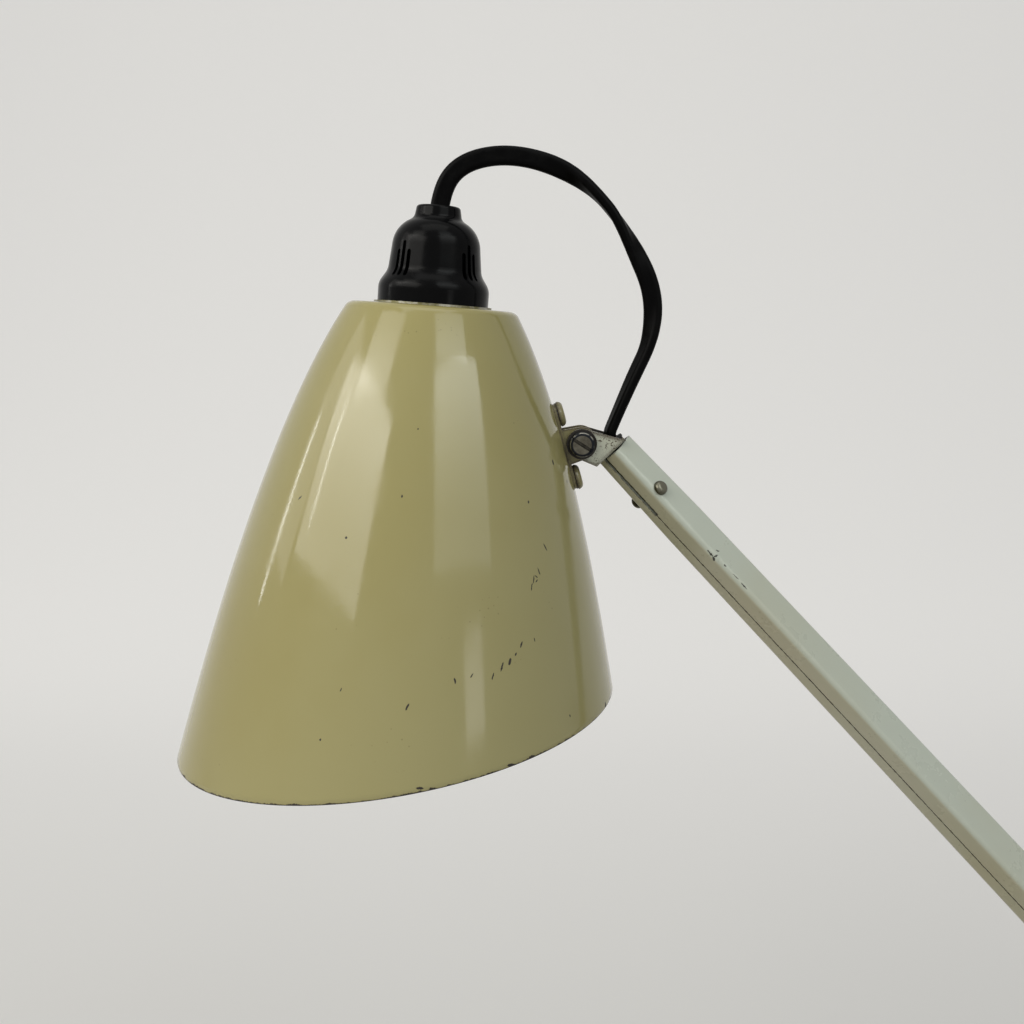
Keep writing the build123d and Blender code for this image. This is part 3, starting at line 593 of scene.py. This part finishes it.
# Head knuckle: a U folded from sheet, fixed on a hollow stem that turns in the split arm end.
# A pin beside the stem's axis holds it there. The paint has gone at the edges, down to brown metal.
clevis_white, tree, shader = lacquer(
    "clevis_worn_lacquer",
    (0.53, 0.55, 0.46, 1),
    (0.45, 0.44, 0.33, 1),
    rust_edge,
    wear=1.0,
    radius=0.0032,
    roughness=0.36,
    specks=0.9,
)
# The faces inside the U are drawn near black: bare metal and painted shade between the cheeks.
cheek_inside = 0.0054
paint_edge = 0.0002
pit_brown = (0.07, 0.05, 0.03, 1)
inner_bare_and_shade_brown = (0.022, 0.018, 0.013, 1)
place = object_place(tree)
from_middle = sums(tree, "ABSOLUTE", parts_of(tree, place)["Y"])
inner_bare_and_shaded = shaped(tree, from_middle, cheek_inside + paint_edge, cheek_inside)
pits = noise(tree, place, scale=1300.0, detail=2.0)
pitted_parts = noise(tree, place, scale=170.0, detail=3.0)
pitted = sums(
    tree, "MULTIPLY", shaped(tree, pits, 0.56, 0.64), shaped(tree, pitted_parts, 0.46, 0.58)
)
rusty = mixed(tree, pitted, coat_of(shader), pit_brown)
fill(shader, {"Base Color": mixed(tree, inner_bare_and_shaded, rusty, inner_bare_and_shade_brown)})
dress(clevis_white, "head_clevis")
# The stem is drawn near black: grease and painted shade inside the arm's end.
stem_grease_and_shade = metal(
    "stem_grease_and_shade_steel",
    (0.012, 0.011, 0.01, 1),
    (0.006, 0.005, 0.004, 1),
    amount=0.5,
    roughness=0.65,
    metallic=0.4,
)
dress(stem_grease_and_shade, "swivel_stem")
dress(screw_steel, "tilt_nut", "tilt_spacer")
pin_steel = metal(
    "pin_olive_steel", (0.15, 0.145, 0.11, 1), (0.05, 0.045, 0.03, 1), amount=0.7, roughness=0.36
)
dress(pin_steel, "retaining_pin")

# The tilt screw's head is blackened round its edge, and worn to grey-brown in the middle.
# A thin broken grey ring between the two is a painted highlight.
tilt_point = Vector((-0.109065, 0, 0.624338))
across_head = (1, 0, 1)
worn_face = 0.0033
worn_fade = 0.0003
highlight_ring = 0.0044
ring_half = 0.00022
ring_bright_half = 0.00008
blued_black = (0.011, 0.013, 0.017, 1)
ring_highlight_grey = (0.3, 0.29, 0.25, 1)
slot_dirt_and_shade_black = (0.003, 0.003, 0.003, 1)
tilt_black, tree, shader = finish_for("tilt_screw_blackened")
skin = from_group(
    tree,
    worked_metal,
    {
        "Metal": (0.15, 0.14, 0.11, 1),
        "Tarnish": (0.06, 0.053, 0.04, 1),
        "Tarnish amount": 0.8,
        "Roughness": 0.42,
    },
)
place = object_place(tree)
offset = vectors(tree, "SUBTRACT", place, tilt_point)
away = vectors(tree, "LENGTH", vectors(tree, "MULTIPLY", offset, across_head))
blued_part = shaped(tree, away, worn_face, worn_face + worn_fade)
blued = mixed(tree, blued_part, skin["Colour"], blued_black)
from_ring = sums(tree, "ABSOLUTE", sums(tree, "SUBTRACT", away, highlight_ring))
ring_highlight_breaks = noise(tree, place, scale=330.0, detail=2.0)
ring_highlight = sums(
    tree,
    "MULTIPLY",
    shaped(tree, from_ring, ring_half, ring_bright_half),
    shaped(tree, ring_highlight_breaks, 0.46, 0.58),
)
highlighted = mixed(tree, ring_highlight, blued, ring_highlight_grey)
# The slot is drawn black: dirt and painted shade.
grimy_and_shaded = from_group(tree, crevice_grime_and_shade, {"Distance": grease_and_shade_reach})["Mask"]
fill(
    shader,
    {
        "Base Color": mixed(tree, grimy_and_shaded, highlighted, slot_dirt_and_shade_black),
        "Roughness": skin["Roughness"],
        "Metallic": 0.8,
        "Normal": bumped(tree, skin["Height"], strength=0.2, distance=0.0002),
    },
)
dress(tilt_black, "tilt_screw")


# Shade bracket and its screws: folded sheet with two ears, screwed to the shade and sprayed.
# The lacquer is darker than the shade's and well rubbed. Plated nuts inside the shade hold it.
bracket_cream, tree, shader = lacquer(
    "bracket_worn_cream",
    (0.29, 0.265, 0.12, 1),
    (0.19, 0.16, 0.065, 1),
    brown_primer,
    wear=0.8,
    radius=0.0018,
    roughness=0.36,
    specks=0.7,
)
dress(bracket_cream, "shade_bracket")
screw_cream, tree, shader = lacquer(
    "screw_worn_cream",
    (0.3, 0.27, 0.13, 1),
    (0.13, 0.105, 0.05, 1),
    brown_primer,
    wear=0.95,
    radius=0.002,
    roughness=0.4,
    specks=0.9,
)
dress(screw_cream, "bracket_screws")
dress(plated_steel, "bracket_nuts")


# Shade: spun sheet, a parabola in section with a slanted rim, sprayed cream outside and in.
# Glossy, yellowed lacquer with chips down to brown primer.
head_lean = radians(4.22)
washer_low, washer_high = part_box("lampholder_washer")
half_washer = 0.0004
head_place = (
    Matrix.Translation((washer_low + washer_high) / 2)
    @ Matrix.Rotation(head_lean, 4, "Y")
    @ Matrix.Translation((0, 0, -half_washer))
)
shade_top_radius = 0.0308
shade_mouth_radius = 0.0868
shade_depth = 0.1749
shade_wall = 0.0009
shade_shoulder = 0.004
shade_hole = 0.0173
rim_depth = 0.1563
rim_slope = radians(12.08)
wall_growth = (shade_mouth_radius**2 - shade_top_radius**2) / shade_depth
turns = 224
wall_rows = 88
shoulder_rows = 9
rim_rows = 5
rim_rounds = 12
shoulder_rounds = 8
crease = radians(50)


def wall_radius(depth):
    """The wall's outer radius at a depth under the top."""
    return sqrt(shade_top_radius**2 + wall_growth * depth)


def rim_at(turn):
    """Depth at which the wall meets the slanted plane of the rim."""
    depth = rim_depth
    for _ in range(rim_rounds):
        depth = rim_depth - wall_radius(depth) * cos(turn) * tan(rim_slope)
    return depth


def shade_section(turn):
    """The closed section of the shade's sheet at one turn, outside first, as radius and depth."""
    start = shade_shoulder
    for _ in range(shoulder_rounds):
        lean = wall_growth / (2 * wall_radius(start))
        start = shade_shoulder - shade_shoulder * lean / sqrt(1 + lean**2)
    lean = wall_growth / (2 * wall_radius(start))
    centre = wall_radius(start) - shade_shoulder / sqrt(1 + lean**2)
    end = rim_at(turn) - shade_wall / 2
    outside = [(shade_hole, 0.0), ((shade_hole + centre) / 2, 0.0)]
    for row in range(shoulder_rows + 1):
        angle = pi / 2 + (atan2(lean, 1) - pi / 2) * row / shoulder_rows
        radius = centre + shade_shoulder * cos(angle)
        outside.append((radius, shade_shoulder - shade_shoulder * sin(angle)))
    for row in range(1, wall_rows + 1):
        depth = start + (end - start) * row / wall_rows
        outside.append((wall_radius(depth), depth))
    inside = [(radius - shade_wall, max(depth, shade_wall)) for radius, depth in outside[2:]]
    inside = [(shade_hole, shade_wall)] + inside
    middle = wall_radius(end) - shade_wall / 2
    lip = []
    for row in range(1, rim_rows + 1):
        angle = pi * row / (rim_rows + 1)
        lip.append((middle + shade_wall / 2 * cos(angle), end + shade_wall / 2 * sin(angle)))
    return outside + lip + inside[::-1], end


def piece_from(mesh, name):
    """A piece made of a finished mesh."""
    data = bpy.data.meshes.new(name)
    mesh.to_mesh(data)
    mesh.free()
    made = bpy.data.objects.new(name, data)
    bpy.context.scene.collection.objects.link(made)
    return made


shade_mesh = bmesh.new()
around = shade_mesh.loops.layers.uv.new("around")
from_rim = shade_mesh.loops.layers.uv.new("from_rim")
rings = []
for step in range(turns):
    turn = 2 * pi * step / turns
    section, end = shade_section(turn)
    ring = []
    for radius, depth in section:
        spot = Vector((radius * cos(turn), radius * sin(turn), -depth))
        ring.append((shade_mesh.verts.new(head_place @ spot), depth, end - depth))
    rings.append(ring)
for step in range(turns):
    here, beyond = rings[step], rings[(step + 1) % turns]
    for row in range(len(here)):
        after = (row + 1) % len(here)
        corners = [here[row], here[after], beyond[after], beyond[row]]
        face = shade_mesh.faces.new([vert for vert, depth, gap in corners])
        face.smooth = True
        for loop, (vert, depth, gap), ahead in zip(face.loops, corners, (0, 0, 1, 1)):
            share = (step + ahead) / turns
            loop[around].uv = (share, depth)
            loop[from_rim].uv = (share, gap)
shade = piece_from(shade_mesh, "shade_spun")
shade.data.set_sharp_from_angle(angle=crease)

# Chips as the photograph shows them, in degrees and mm: turn, depth, half width, half length
# and lean.
shade_chips = [
    (-92.2, 62.3, 0.32, 0.5, 0),
    (-108.4, 77.1, 0.45, 0.4, 0),
    (-129.6, 67.2, 0.26, 1.0, -40),
    (-86.2, 127.4, 0.32, 1.2, -25),
    (-106.4, 140.5, 0.32, 0.4, 0),
    (-103.0, 124.2, 0.2, 0.6, -20),
    (-88.7, 40.6, 0.25, 0.3, 0),
    (-41.9, 78.9, 0.26, 1.5, 28),
    (-46.2, 86.4, 0.22, 1.3, 18),
    (-47.5, 88.0, 0.22, 0.7, 60),
    (-47.6, 89.4, 0.2, 0.7, -50),
    (-48.7, 88.8, 0.2, 1.4, -15),
    (-49.8, 91.1, 0.24, 1.3, -18),
    (-55.3, 109.2, 0.3, 1.1, -25),
    (-50.7, 108.2, 0.18, 0.7, 10),
    (-57.3, 112.0, 0.32, 0.55, -30),
    (-59.3, 114.2, 0.5, 1.2, -20),
    (-61.7, 115.6, 0.3, 1.5, -22),
    (-64.4, 118.3, 0.24, 1.2, -20),
    (-74.6, 119.1, 0.34, 1.0, 10),
    (-70.2, 117.6, 0.2, 0.9, -35),
    (-46.7, 63.5, 0.33, 0.5, 0),
    (-27.4, 51.5, 0.5, 0.9, 0),
    (-17.7, 59.1, 0.3, 0.6, 0),
    (-40.3, 135.8, 0.3, 0.5, 0),
    (-20.0, 139.7, 0.7, 1.6, -15),
    (-54.3, 145.6, 1.3, 0.5, 0),
    (-60.4, 147.0, 1.4, 0.5, 0),
    (-82.3, 152.4, 1.2, 0.4, 0),
]
shade_ragging = (0.0012, 0.0006, 0)
rim_wear = 0.0008
rim_wear_start = 0.0001
rim_wear_full = -0.0002
bare_dulling = 0.5
bare_sunk = -4.0
bare_brown = (0.018, 0.013, 0.008, 1)
shade_cream, tree, shader = finish_for("shade_cream_lacquer")
skin = from_group(
    tree,
    aged_lacquer,
    {
        "Colour": cream,
        "Yellowed": cream_yellowed,
        "Dirt": brown_primer,
        "Cloud scale": 9.0,
        "Speck amount": 0.3,
        "Roughness": 0.11,
    },
)
on_wall = put(tree, "UVMap", {}, uv_map="around").outputs[0]
chipped = chips_on(
    tree,
    strayed(tree, on_wall, scale=1500.0, spread=shade_ragging),
    [
        (
            (turn % 360 / 360, depth / 1000, 0),
            (2 * pi * wall_radius(depth / 1000), 1, 0),
            (half_width / 1000, half_length / 1000, 1),
            lean,
        )
        for turn, depth, half_width, half_length, lean in shade_chips
    ],
)
to_rim = parts_of(tree, put(tree, "UVMap", {}, uv_map="from_rim").outputs[0])["Y"]
patchy = noise(tree, object_place(tree), scale=260.0, detail=5.0, roughness=0.7)
rim_reach = shaped(tree, patchy, 0.4, 0.75, 0.0, rim_wear)
past_wear = sums(tree, "SUBTRACT", to_rim, rim_reach)
rim_worn = shaped(tree, past_wear, rim_wear_start, rim_wear_full)
bare = sums(tree, "MAXIMUM", chipped, rim_worn)
surface = sums(tree, "MULTIPLY_ADD", bare, bare_sunk, skin["Height"])
fill(
    shader,
    {
        "Base Color": mixed(tree, bare, skin["Colour"], bare_brown),
        "Roughness": sums(tree, "MULTIPLY_ADD", bare, bare_dulling, skin["Roughness"]),
        "Normal": bumped(tree, surface, strength=0.03, distance=0.0004),
    },
)
shade.data.materials.append(shade_cream)
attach(shade, "head")
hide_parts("shade")


# Paint beads under the two bracket screws: lacquer that ran in where the wall curves away from a
# flat head. Shaped as two rings with hollow sides, cracked, and dark brown: painted shade under
# each head.
bracket_depth = 0.0483
screw_pitch = 0.0246
bead_steps = 40
# Radius and height over the wall.
bead_rows = [
    (0.0020, 0.00119),
    (0.00452, 0.00119),
    (0.00438, 0.00095),
    (0.0044, 0.0007),
    (0.00455, 0.00045),
    (0.0020, 0.0003),
]
wall_lean = atan2(wall_growth / 2, wall_radius(bracket_depth))
bracket_place = (
    head_place
    @ Matrix.Translation((wall_radius(bracket_depth), 0, -bracket_depth))
    @ Matrix.Rotation(pi / 2 - wall_lean, 4, "Y")
)
bead_turns = [2 * pi * step / bead_steps for step in range(bead_steps)]
bead_mesh = bmesh.new()
for side in (-1, 1):
    seat = bracket_place @ Matrix.Translation((side * screw_pitch / 2, 0, 0))
    rings = []
    for radius, height in bead_rows:
        spots = [Vector((radius * cos(turn), radius * sin(turn), height)) for turn in bead_turns]
        rings.append([bead_mesh.verts.new(seat @ spot) for spot in spots])
    for here, beyond in zip(rings, rings[1:]):
        for step in range(bead_steps):
            after = (step + 1) % bead_steps
            quad = [here[step], beyond[step], beyond[after], here[after]]
            bead_mesh.faces.new(quad).smooth = True
bmesh.ops.recalc_face_normals(bead_mesh, faces=bead_mesh.faces)
beads = piece_from(bead_mesh, "bracket_screw_beads")
beads.data.set_sharp_from_angle(angle=crease)
bead_shade_dark = (0.02, 0.015, 0.009, 1)
bead_tan = (0.12, 0.1, 0.05, 1)
bead_shade_brown, tree, shader = finish_for("bead_shade_brown_lacquer")
crazed = noise(tree, object_place(tree), scale=600.0, detail=5.0, roughness=0.7)
fill(
    shader,
    {
        "Base Color": mixed(tree, shaped(tree, crazed, 0.45, 0.7), bead_shade_dark, bead_tan),
        "Roughness": shaped(tree, crazed, 0.3, 0.7, 0.4, 0.7),
    },
)
beads.data.materials.append(bead_shade_brown)
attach(beads, "head")


# Lampholder: a moulded black cap with grip grooves, over a threaded sleeve with a notched ring.
# A thin bright washer shows between the cap and the shade. Inside are brass contacts on porcelain.
dress(phenolic, "lampholder_cap", "lampholder_sleeve", "shade_ring")
washer_grimed = metal(
    "grimed_washer", (0.2, 0.185, 0.095, 1), (0.5, 0.49, 0.45, 1), amount=1.0, roughness=0.38
)
dress(washer_grimed, "lampholder_washer")
brass = metal(
    "contact_brass", (0.6, 0.42, 0.17, 1), (0.2, 0.12, 0.05, 1), amount=0.6, roughness=0.3
)
dress(brass, "screw_shell", "centre_contact")

glaze_white = (0.74, 0.73, 0.69, 1)
glaze_cream = (0.66, 0.64, 0.58, 1)
porcelain, tree, shader = finish_for("glazed_porcelain")
glaze = noise(tree, object_place(tree), scale=200.0, detail=3.0)
fill(
    shader,
    {
        "Base Color": mixed(tree, glaze, glaze_white, glaze_cream),
        "Roughness": shaped(tree, glaze, 0.3, 0.7, 0.1, 0.25),
    },
)
dress(porcelain, "contact_block")


# Bulb: frosted glass blown round, cemented in an aluminium screw cap.
# The frost is a fine grain that blurs what shows through the glass.
frosted, tree, shader = finish_for("frosted_glass")
frost = noise(tree, object_place(tree), scale=900.0, detail=4.0)
fill(
    shader,
    {
        "Base Color": (0.92, 0.92, 0.9, 1),
        "Roughness": shaped(tree, frost, 0.3, 0.7, 0.35, 0.55),
        "Transmission Weight": 0.85,
        "Normal": bumped(tree, frost, strength=0.08, distance=0.0002),
    },
)
dress(frosted, "bulb_glass")
dress(turned_aluminium, "bulb_cap")


# Flex: black flat twin cord in an oval sheath, from the cap in one free loop into the arm's end.
# It is held only at its two ends, and twists over as it goes round.
flex_route = [
    (-0.1620, 0, 0.7034),
    (-0.1611, 0, 0.7154),
    (-0.1533, 0, 0.7258),
    (-0.1361, 0, 0.7291),
    (-0.1164, 0, 0.7241),
    (-0.1007, 0, 0.7124),
    (-0.0904, 0, 0.6961),
    (-0.0826, 0, 0.6795),
    (-0.0833, 0, 0.6625),
    (-0.0899, 0, 0.6484),
    (-0.0960, 0, 0.6338),
    (-0.0995, 0, 0.6250),
    (-0.0936, 0, 0.6188),
]
flex_width = 0.007
core_radius = 0.0019
core_centre = flex_width / 2 - core_radius
valley = 0.0018
# The round side of one core, from valley to valley.
core_angles = [radians(-100 + 20 * step) for step in range(11)]
route_steps = 14
# Distance along the flex and the sheath's turn there, in degrees.
flex_twists = [
    (0.0, 0),
    (0.05, 0),
    (0.082, 90),
    (0.115, 180),
    (0.142, 245),
    (0.17, 258),
    (0.2, 258),
]

route_data = bpy.data.curves.new("flex_route", "CURVE")
route_data.dimensions = "3D"
route_data.resolution_u = route_steps
route_spline = route_data.splines.new("NURBS")
route_spline.points.add(len(flex_route) - 1)
for point, spot in zip(route_spline.points, flex_route):
    point.co = (*spot, 1)
route_spline.order_u = 3
route_spline.use_endpoint_u = True
route_object = bpy.data.objects.new("flex_route", route_data)
bpy.context.scene.collection.objects.link(route_object)
line_mesh = bpy.data.meshes.new_from_object(route_object)
flex_line = [vert.co.copy() for vert in line_mesh.vertices]
bpy.data.objects.remove(route_object)
bpy.data.meshes.remove(line_mesh)


def twist_at(along):
    """The sheath's turn about its own line, eased between the places where it is known."""
    for (low, first), (high, second) in zip(flex_twists, flex_twists[1:]):
        if along <= high:
            share = (along - low) / (high - low)
            return radians(first + (second - first) * share * share * (3 - 2 * share))
    return radians(flex_twists[-1][1])


flex_outline = []
for side in (1, -1):
    for angle in core_angles:
        u = side * (core_centre + core_radius * cos(angle))
        flex_outline.append((u, side * core_radius * sin(angle)))
    flex_outline.append((0, side * valley))

flex_mesh = bmesh.new()
sideways = Vector((0, 1, 0))
sections = []
along = 0.0
for index, spot in enumerate(flex_line):
    before = flex_line[max(index - 1, 0)]
    after = flex_line[min(index + 1, len(flex_line) - 1)]
    ahead = (after - before).normalized()
    if index:
        along += (spot - before).length
    flat = sideways.cross(ahead).normalized()
    broad = flat * cos(twist_at(along)) + sideways * sin(twist_at(along))
    thick = ahead.cross(broad)
    sections.append([flex_mesh.verts.new(spot + broad * u + thick * v) for u, v in flex_outline])
for here, beyond in zip(sections, sections[1:]):
    for index in range(len(here)):
        after = (index + 1) % len(here)
        quad = [here[index], here[after], beyond[after], beyond[index]]
        flex_mesh.faces.new(quad).smooth = True
flex_mesh.faces.new(sections[0][::-1])
flex_mesh.faces.new(sections[-1])
bmesh.ops.recalc_face_normals(flex_mesh, faces=flex_mesh.faces)
flex = piece_from(flex_mesh, "head_flex_flat")

sheath_black = (0.001, 0.001, 0.0011, 1)
sheath_grimed = (0.004, 0.004, 0.004, 1)
flex_black, tree, shader = finish_for("black_flex_sheath")
grime = noise(tree, object_place(tree), scale=150.0, detail=5.0, roughness=0.7)
fill(
    shader,
    {
        "Base Color": mixed(tree, shaped(tree, grime, 0.45, 0.8), sheath_black, sheath_grimed),
        "Roughness": shaped(tree, grime, 0.3, 0.75, 0.32, 0.5),
        "Specular IOR Level": 0.05,
        "Normal": bumped(tree, grime, strength=0.08, distance=0.0003),
    },
)
flex.data.materials.append(flex_black)
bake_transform(flex)
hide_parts("head_flex")


# Room: a pale painted floor that sweeps up into a pale wall well behind the lamp.
# In front, far from the lamp, it fades into the room's colour, so that no horizon shows.
floor_front = -5.0
sweep_radius = 1.5
sweep_steps = 24
wall_distance = 2.7
sweep_half_width = 5.0
wall_height = 4.0
sweep_start = wall_distance - sweep_radius
profile = [(floor_front, 0.0), (sweep_start, 0.0)]
for step in range(1, sweep_steps + 1):
    angle = pi / 2 * step / sweep_steps
    profile.append((sweep_start + sweep_radius * sin(angle), sweep_radius * (1 - cos(angle))))
profile.append((wall_distance, wall_height))
floor_mesh = bmesh.new()
edges = []
for x in (-sweep_half_width, sweep_half_width):
    edges.append([floor_mesh.verts.new((x, y, z)) for y, z in profile])
for step in range(len(profile) - 1):
    quad = [edges[0][step], edges[1][step], edges[1][step + 1], edges[0][step + 1]]
    floor_mesh.faces.new(quad).smooth = True
floor = piece_from(floor_mesh, "pale_sweep")


def seen_rays(tree):
    """1 for what the camera sees, straight, mirrored or through glass, and 0 for light."""
    path = put(tree, "LightPath", {}).outputs
    seen = sums(tree, "MAXIMUM", path["Is Camera Ray"], path["Is Glossy Ray"])
    return sums(tree, "MAXIMUM", seen, path["Is Transmission Ray"])


room_pale = (1.0, 0.99, 0.97, 1)
paint_grey = (0.525, 0.52, 0.5, 1)
no_colour = (0, 0, 0, 1)
front_from, front_full = 1.6, 0.4
fade_from, fade_full = 0.8, 3.4
lift_from, lift_full, lift_most = 0.2, 2.6, 0.57
pale_from, pale_full, pale_most = -0.9, 1.8, 0.5
pale_paint, tree, shader = finish_for("pale_wall_paint")
seen = seen_rays(tree)
place = object_place(tree)
back = parts_of(tree, place)["Y"]
far = vectors(tree, "LENGTH", place)
in_front = shaped(tree, back, front_from, front_full)
faded = sums(tree, "MULTIPLY", in_front, shaped(tree, far, fade_from, fade_full))
lift = shaped(tree, far, lift_from, lift_full, 0.0, lift_most)
lifted = sums(tree, "MULTIPLY", in_front, lift)
wall_paler = shaped(tree, back, pale_from, pale_full, 0.0, pale_most)
paler = sums(tree, "MAXIMUM", wall_paler, lifted)
fill(
    shader,
    {
        "Base Color": mixed(tree, sums(tree, "MULTIPLY", seen, faded), paint_grey, no_colour),
        "Roughness": 0.9,
        "Emission Color": room_pale,
        "Emission Strength": sums(tree, "MULTIPLY", seen, paler),
    },
)
floor.data.materials.append(pale_paint)


# Light: two large soft windows behind the camera, left and right, that the glossy shade mirrors,
# with fanlights over them, bright gaps beside the left one, a pale door low on the right and a
# weak ceiling.
shade_middle = Vector((-0.165, 0, 0.6))
room_reach = 2.0
foot_share, head_share = 0.13, 0.92


def window(name, azimuth, elevation, width, height, power, colour, foot=1.0, roll=0.0):
    """An area light seen from the shade at an azimuth from the front and an elevation, in degrees.

    Its foot may be dimmer or brighter than its head, and it may be rolled in its own plane.
    """
    data = bpy.data.lights.new(name, "AREA")
    data.shape = "RECTANGLE"
    data.size = width
    data.size_y = height
    data.energy = power
    data.color = colour
    data.use_nodes = True
    tree = data.node_tree
    upwards = parts_of(tree, put(tree, "NewGeometry", {}).outputs["Parametric"])["Y"]
    ramp = shaped(tree, upwards, foot_share, head_share, foot, 1.0)
    fill(tree.nodes["Emission"], {"Strength": ramp})
    turn, rise = radians(azimuth), radians(elevation)
    towards = Vector((sin(turn) * cos(rise), -cos(turn) * cos(rise), sin(rise)))
    facing = (-towards).to_track_quat("-Z", "Y").to_matrix()
    made = bpy.data.objects.new(name, data)
    made.location = shade_middle + room_reach * towards
    made.rotation_euler = (facing @ Matrix.Rotation(radians(roll), 3, "Z")).to_euler()
    bpy.context.scene.collection.objects.link(made)


warm_sky = (1.0, 0.975, 0.92)
cool_sky = (0.96, 1.0, 0.985)
plain_sky = (1.0, 0.99, 0.96)
wall_cream = (1.0, 0.97, 0.92)
door_cream = (1.0, 0.98, 0.94)
# Each one's azimuth, elevation, width, height and power.
window("window_left", -55, 28.25, 1.87, 0.905, 30.0, warm_sky, foot=0.5)
window("fanlight_left", -55.5, 48, 0.92, 0.66, 3.7, warm_sky, foot=2.0, roll=14)
window("window_right", 37, 30.25, 1.35, 1.053, 18.0, cool_sky, foot=0.25, roll=-8)
window("fanlight_right", 38, 52.5, 0.93, 0.53, 2.35, cool_sky, foot=1.8, roll=-15)
window("ceiling", 0, 80, 1.6, 1.0, 6.5, plain_sky)
window("wall_left", -92, 26, 0.62, 1.1, 2.6, wall_cream)
window("gap_far_left", -98, 15, 0.045, 0.65, 0.8, plain_sky)
window("gap_left", -74, 26, 0.035, 0.56, 0.6, plain_sky)
window("door_right", 39, 4, 0.36, 0.33, 0.7, door_cream)

# The room all round: a weak even light, which is paler where it is seen.
room_light, room_seen = 0.1, 0.6
world = bpy.data.worlds.new("soft_room")
bpy.context.scene.world = world
world.use_nodes = True
tree = world.node_tree
strength = shaped(tree, seen_rays(tree), 0, 1, room_light, room_seen)
fill(tree.nodes["Background"], {"Color": room_pale, "Strength": strength})


# Camera: a little to the right of the shade and looking slightly down, as in the photograph.
# Its place, tilt and lens were fitted to the shade's outline there.
camera_data = bpy.data.cameras.new("photograph_camera")
camera_data.sensor_width = 36.0
camera_data.lens = 38.67
camera = bpy.data.objects.new("photograph_camera", camera_data)
camera.location = (-0.13493, -0.4128, 0.66886)
camera.rotation_euler = (radians(80.21), 0, 0)
bpy.context.scene.collection.objects.link(camera)
bpy.context.scene.camera = camera
bpy.context.scene.view_settings.view_transform = "Standard"
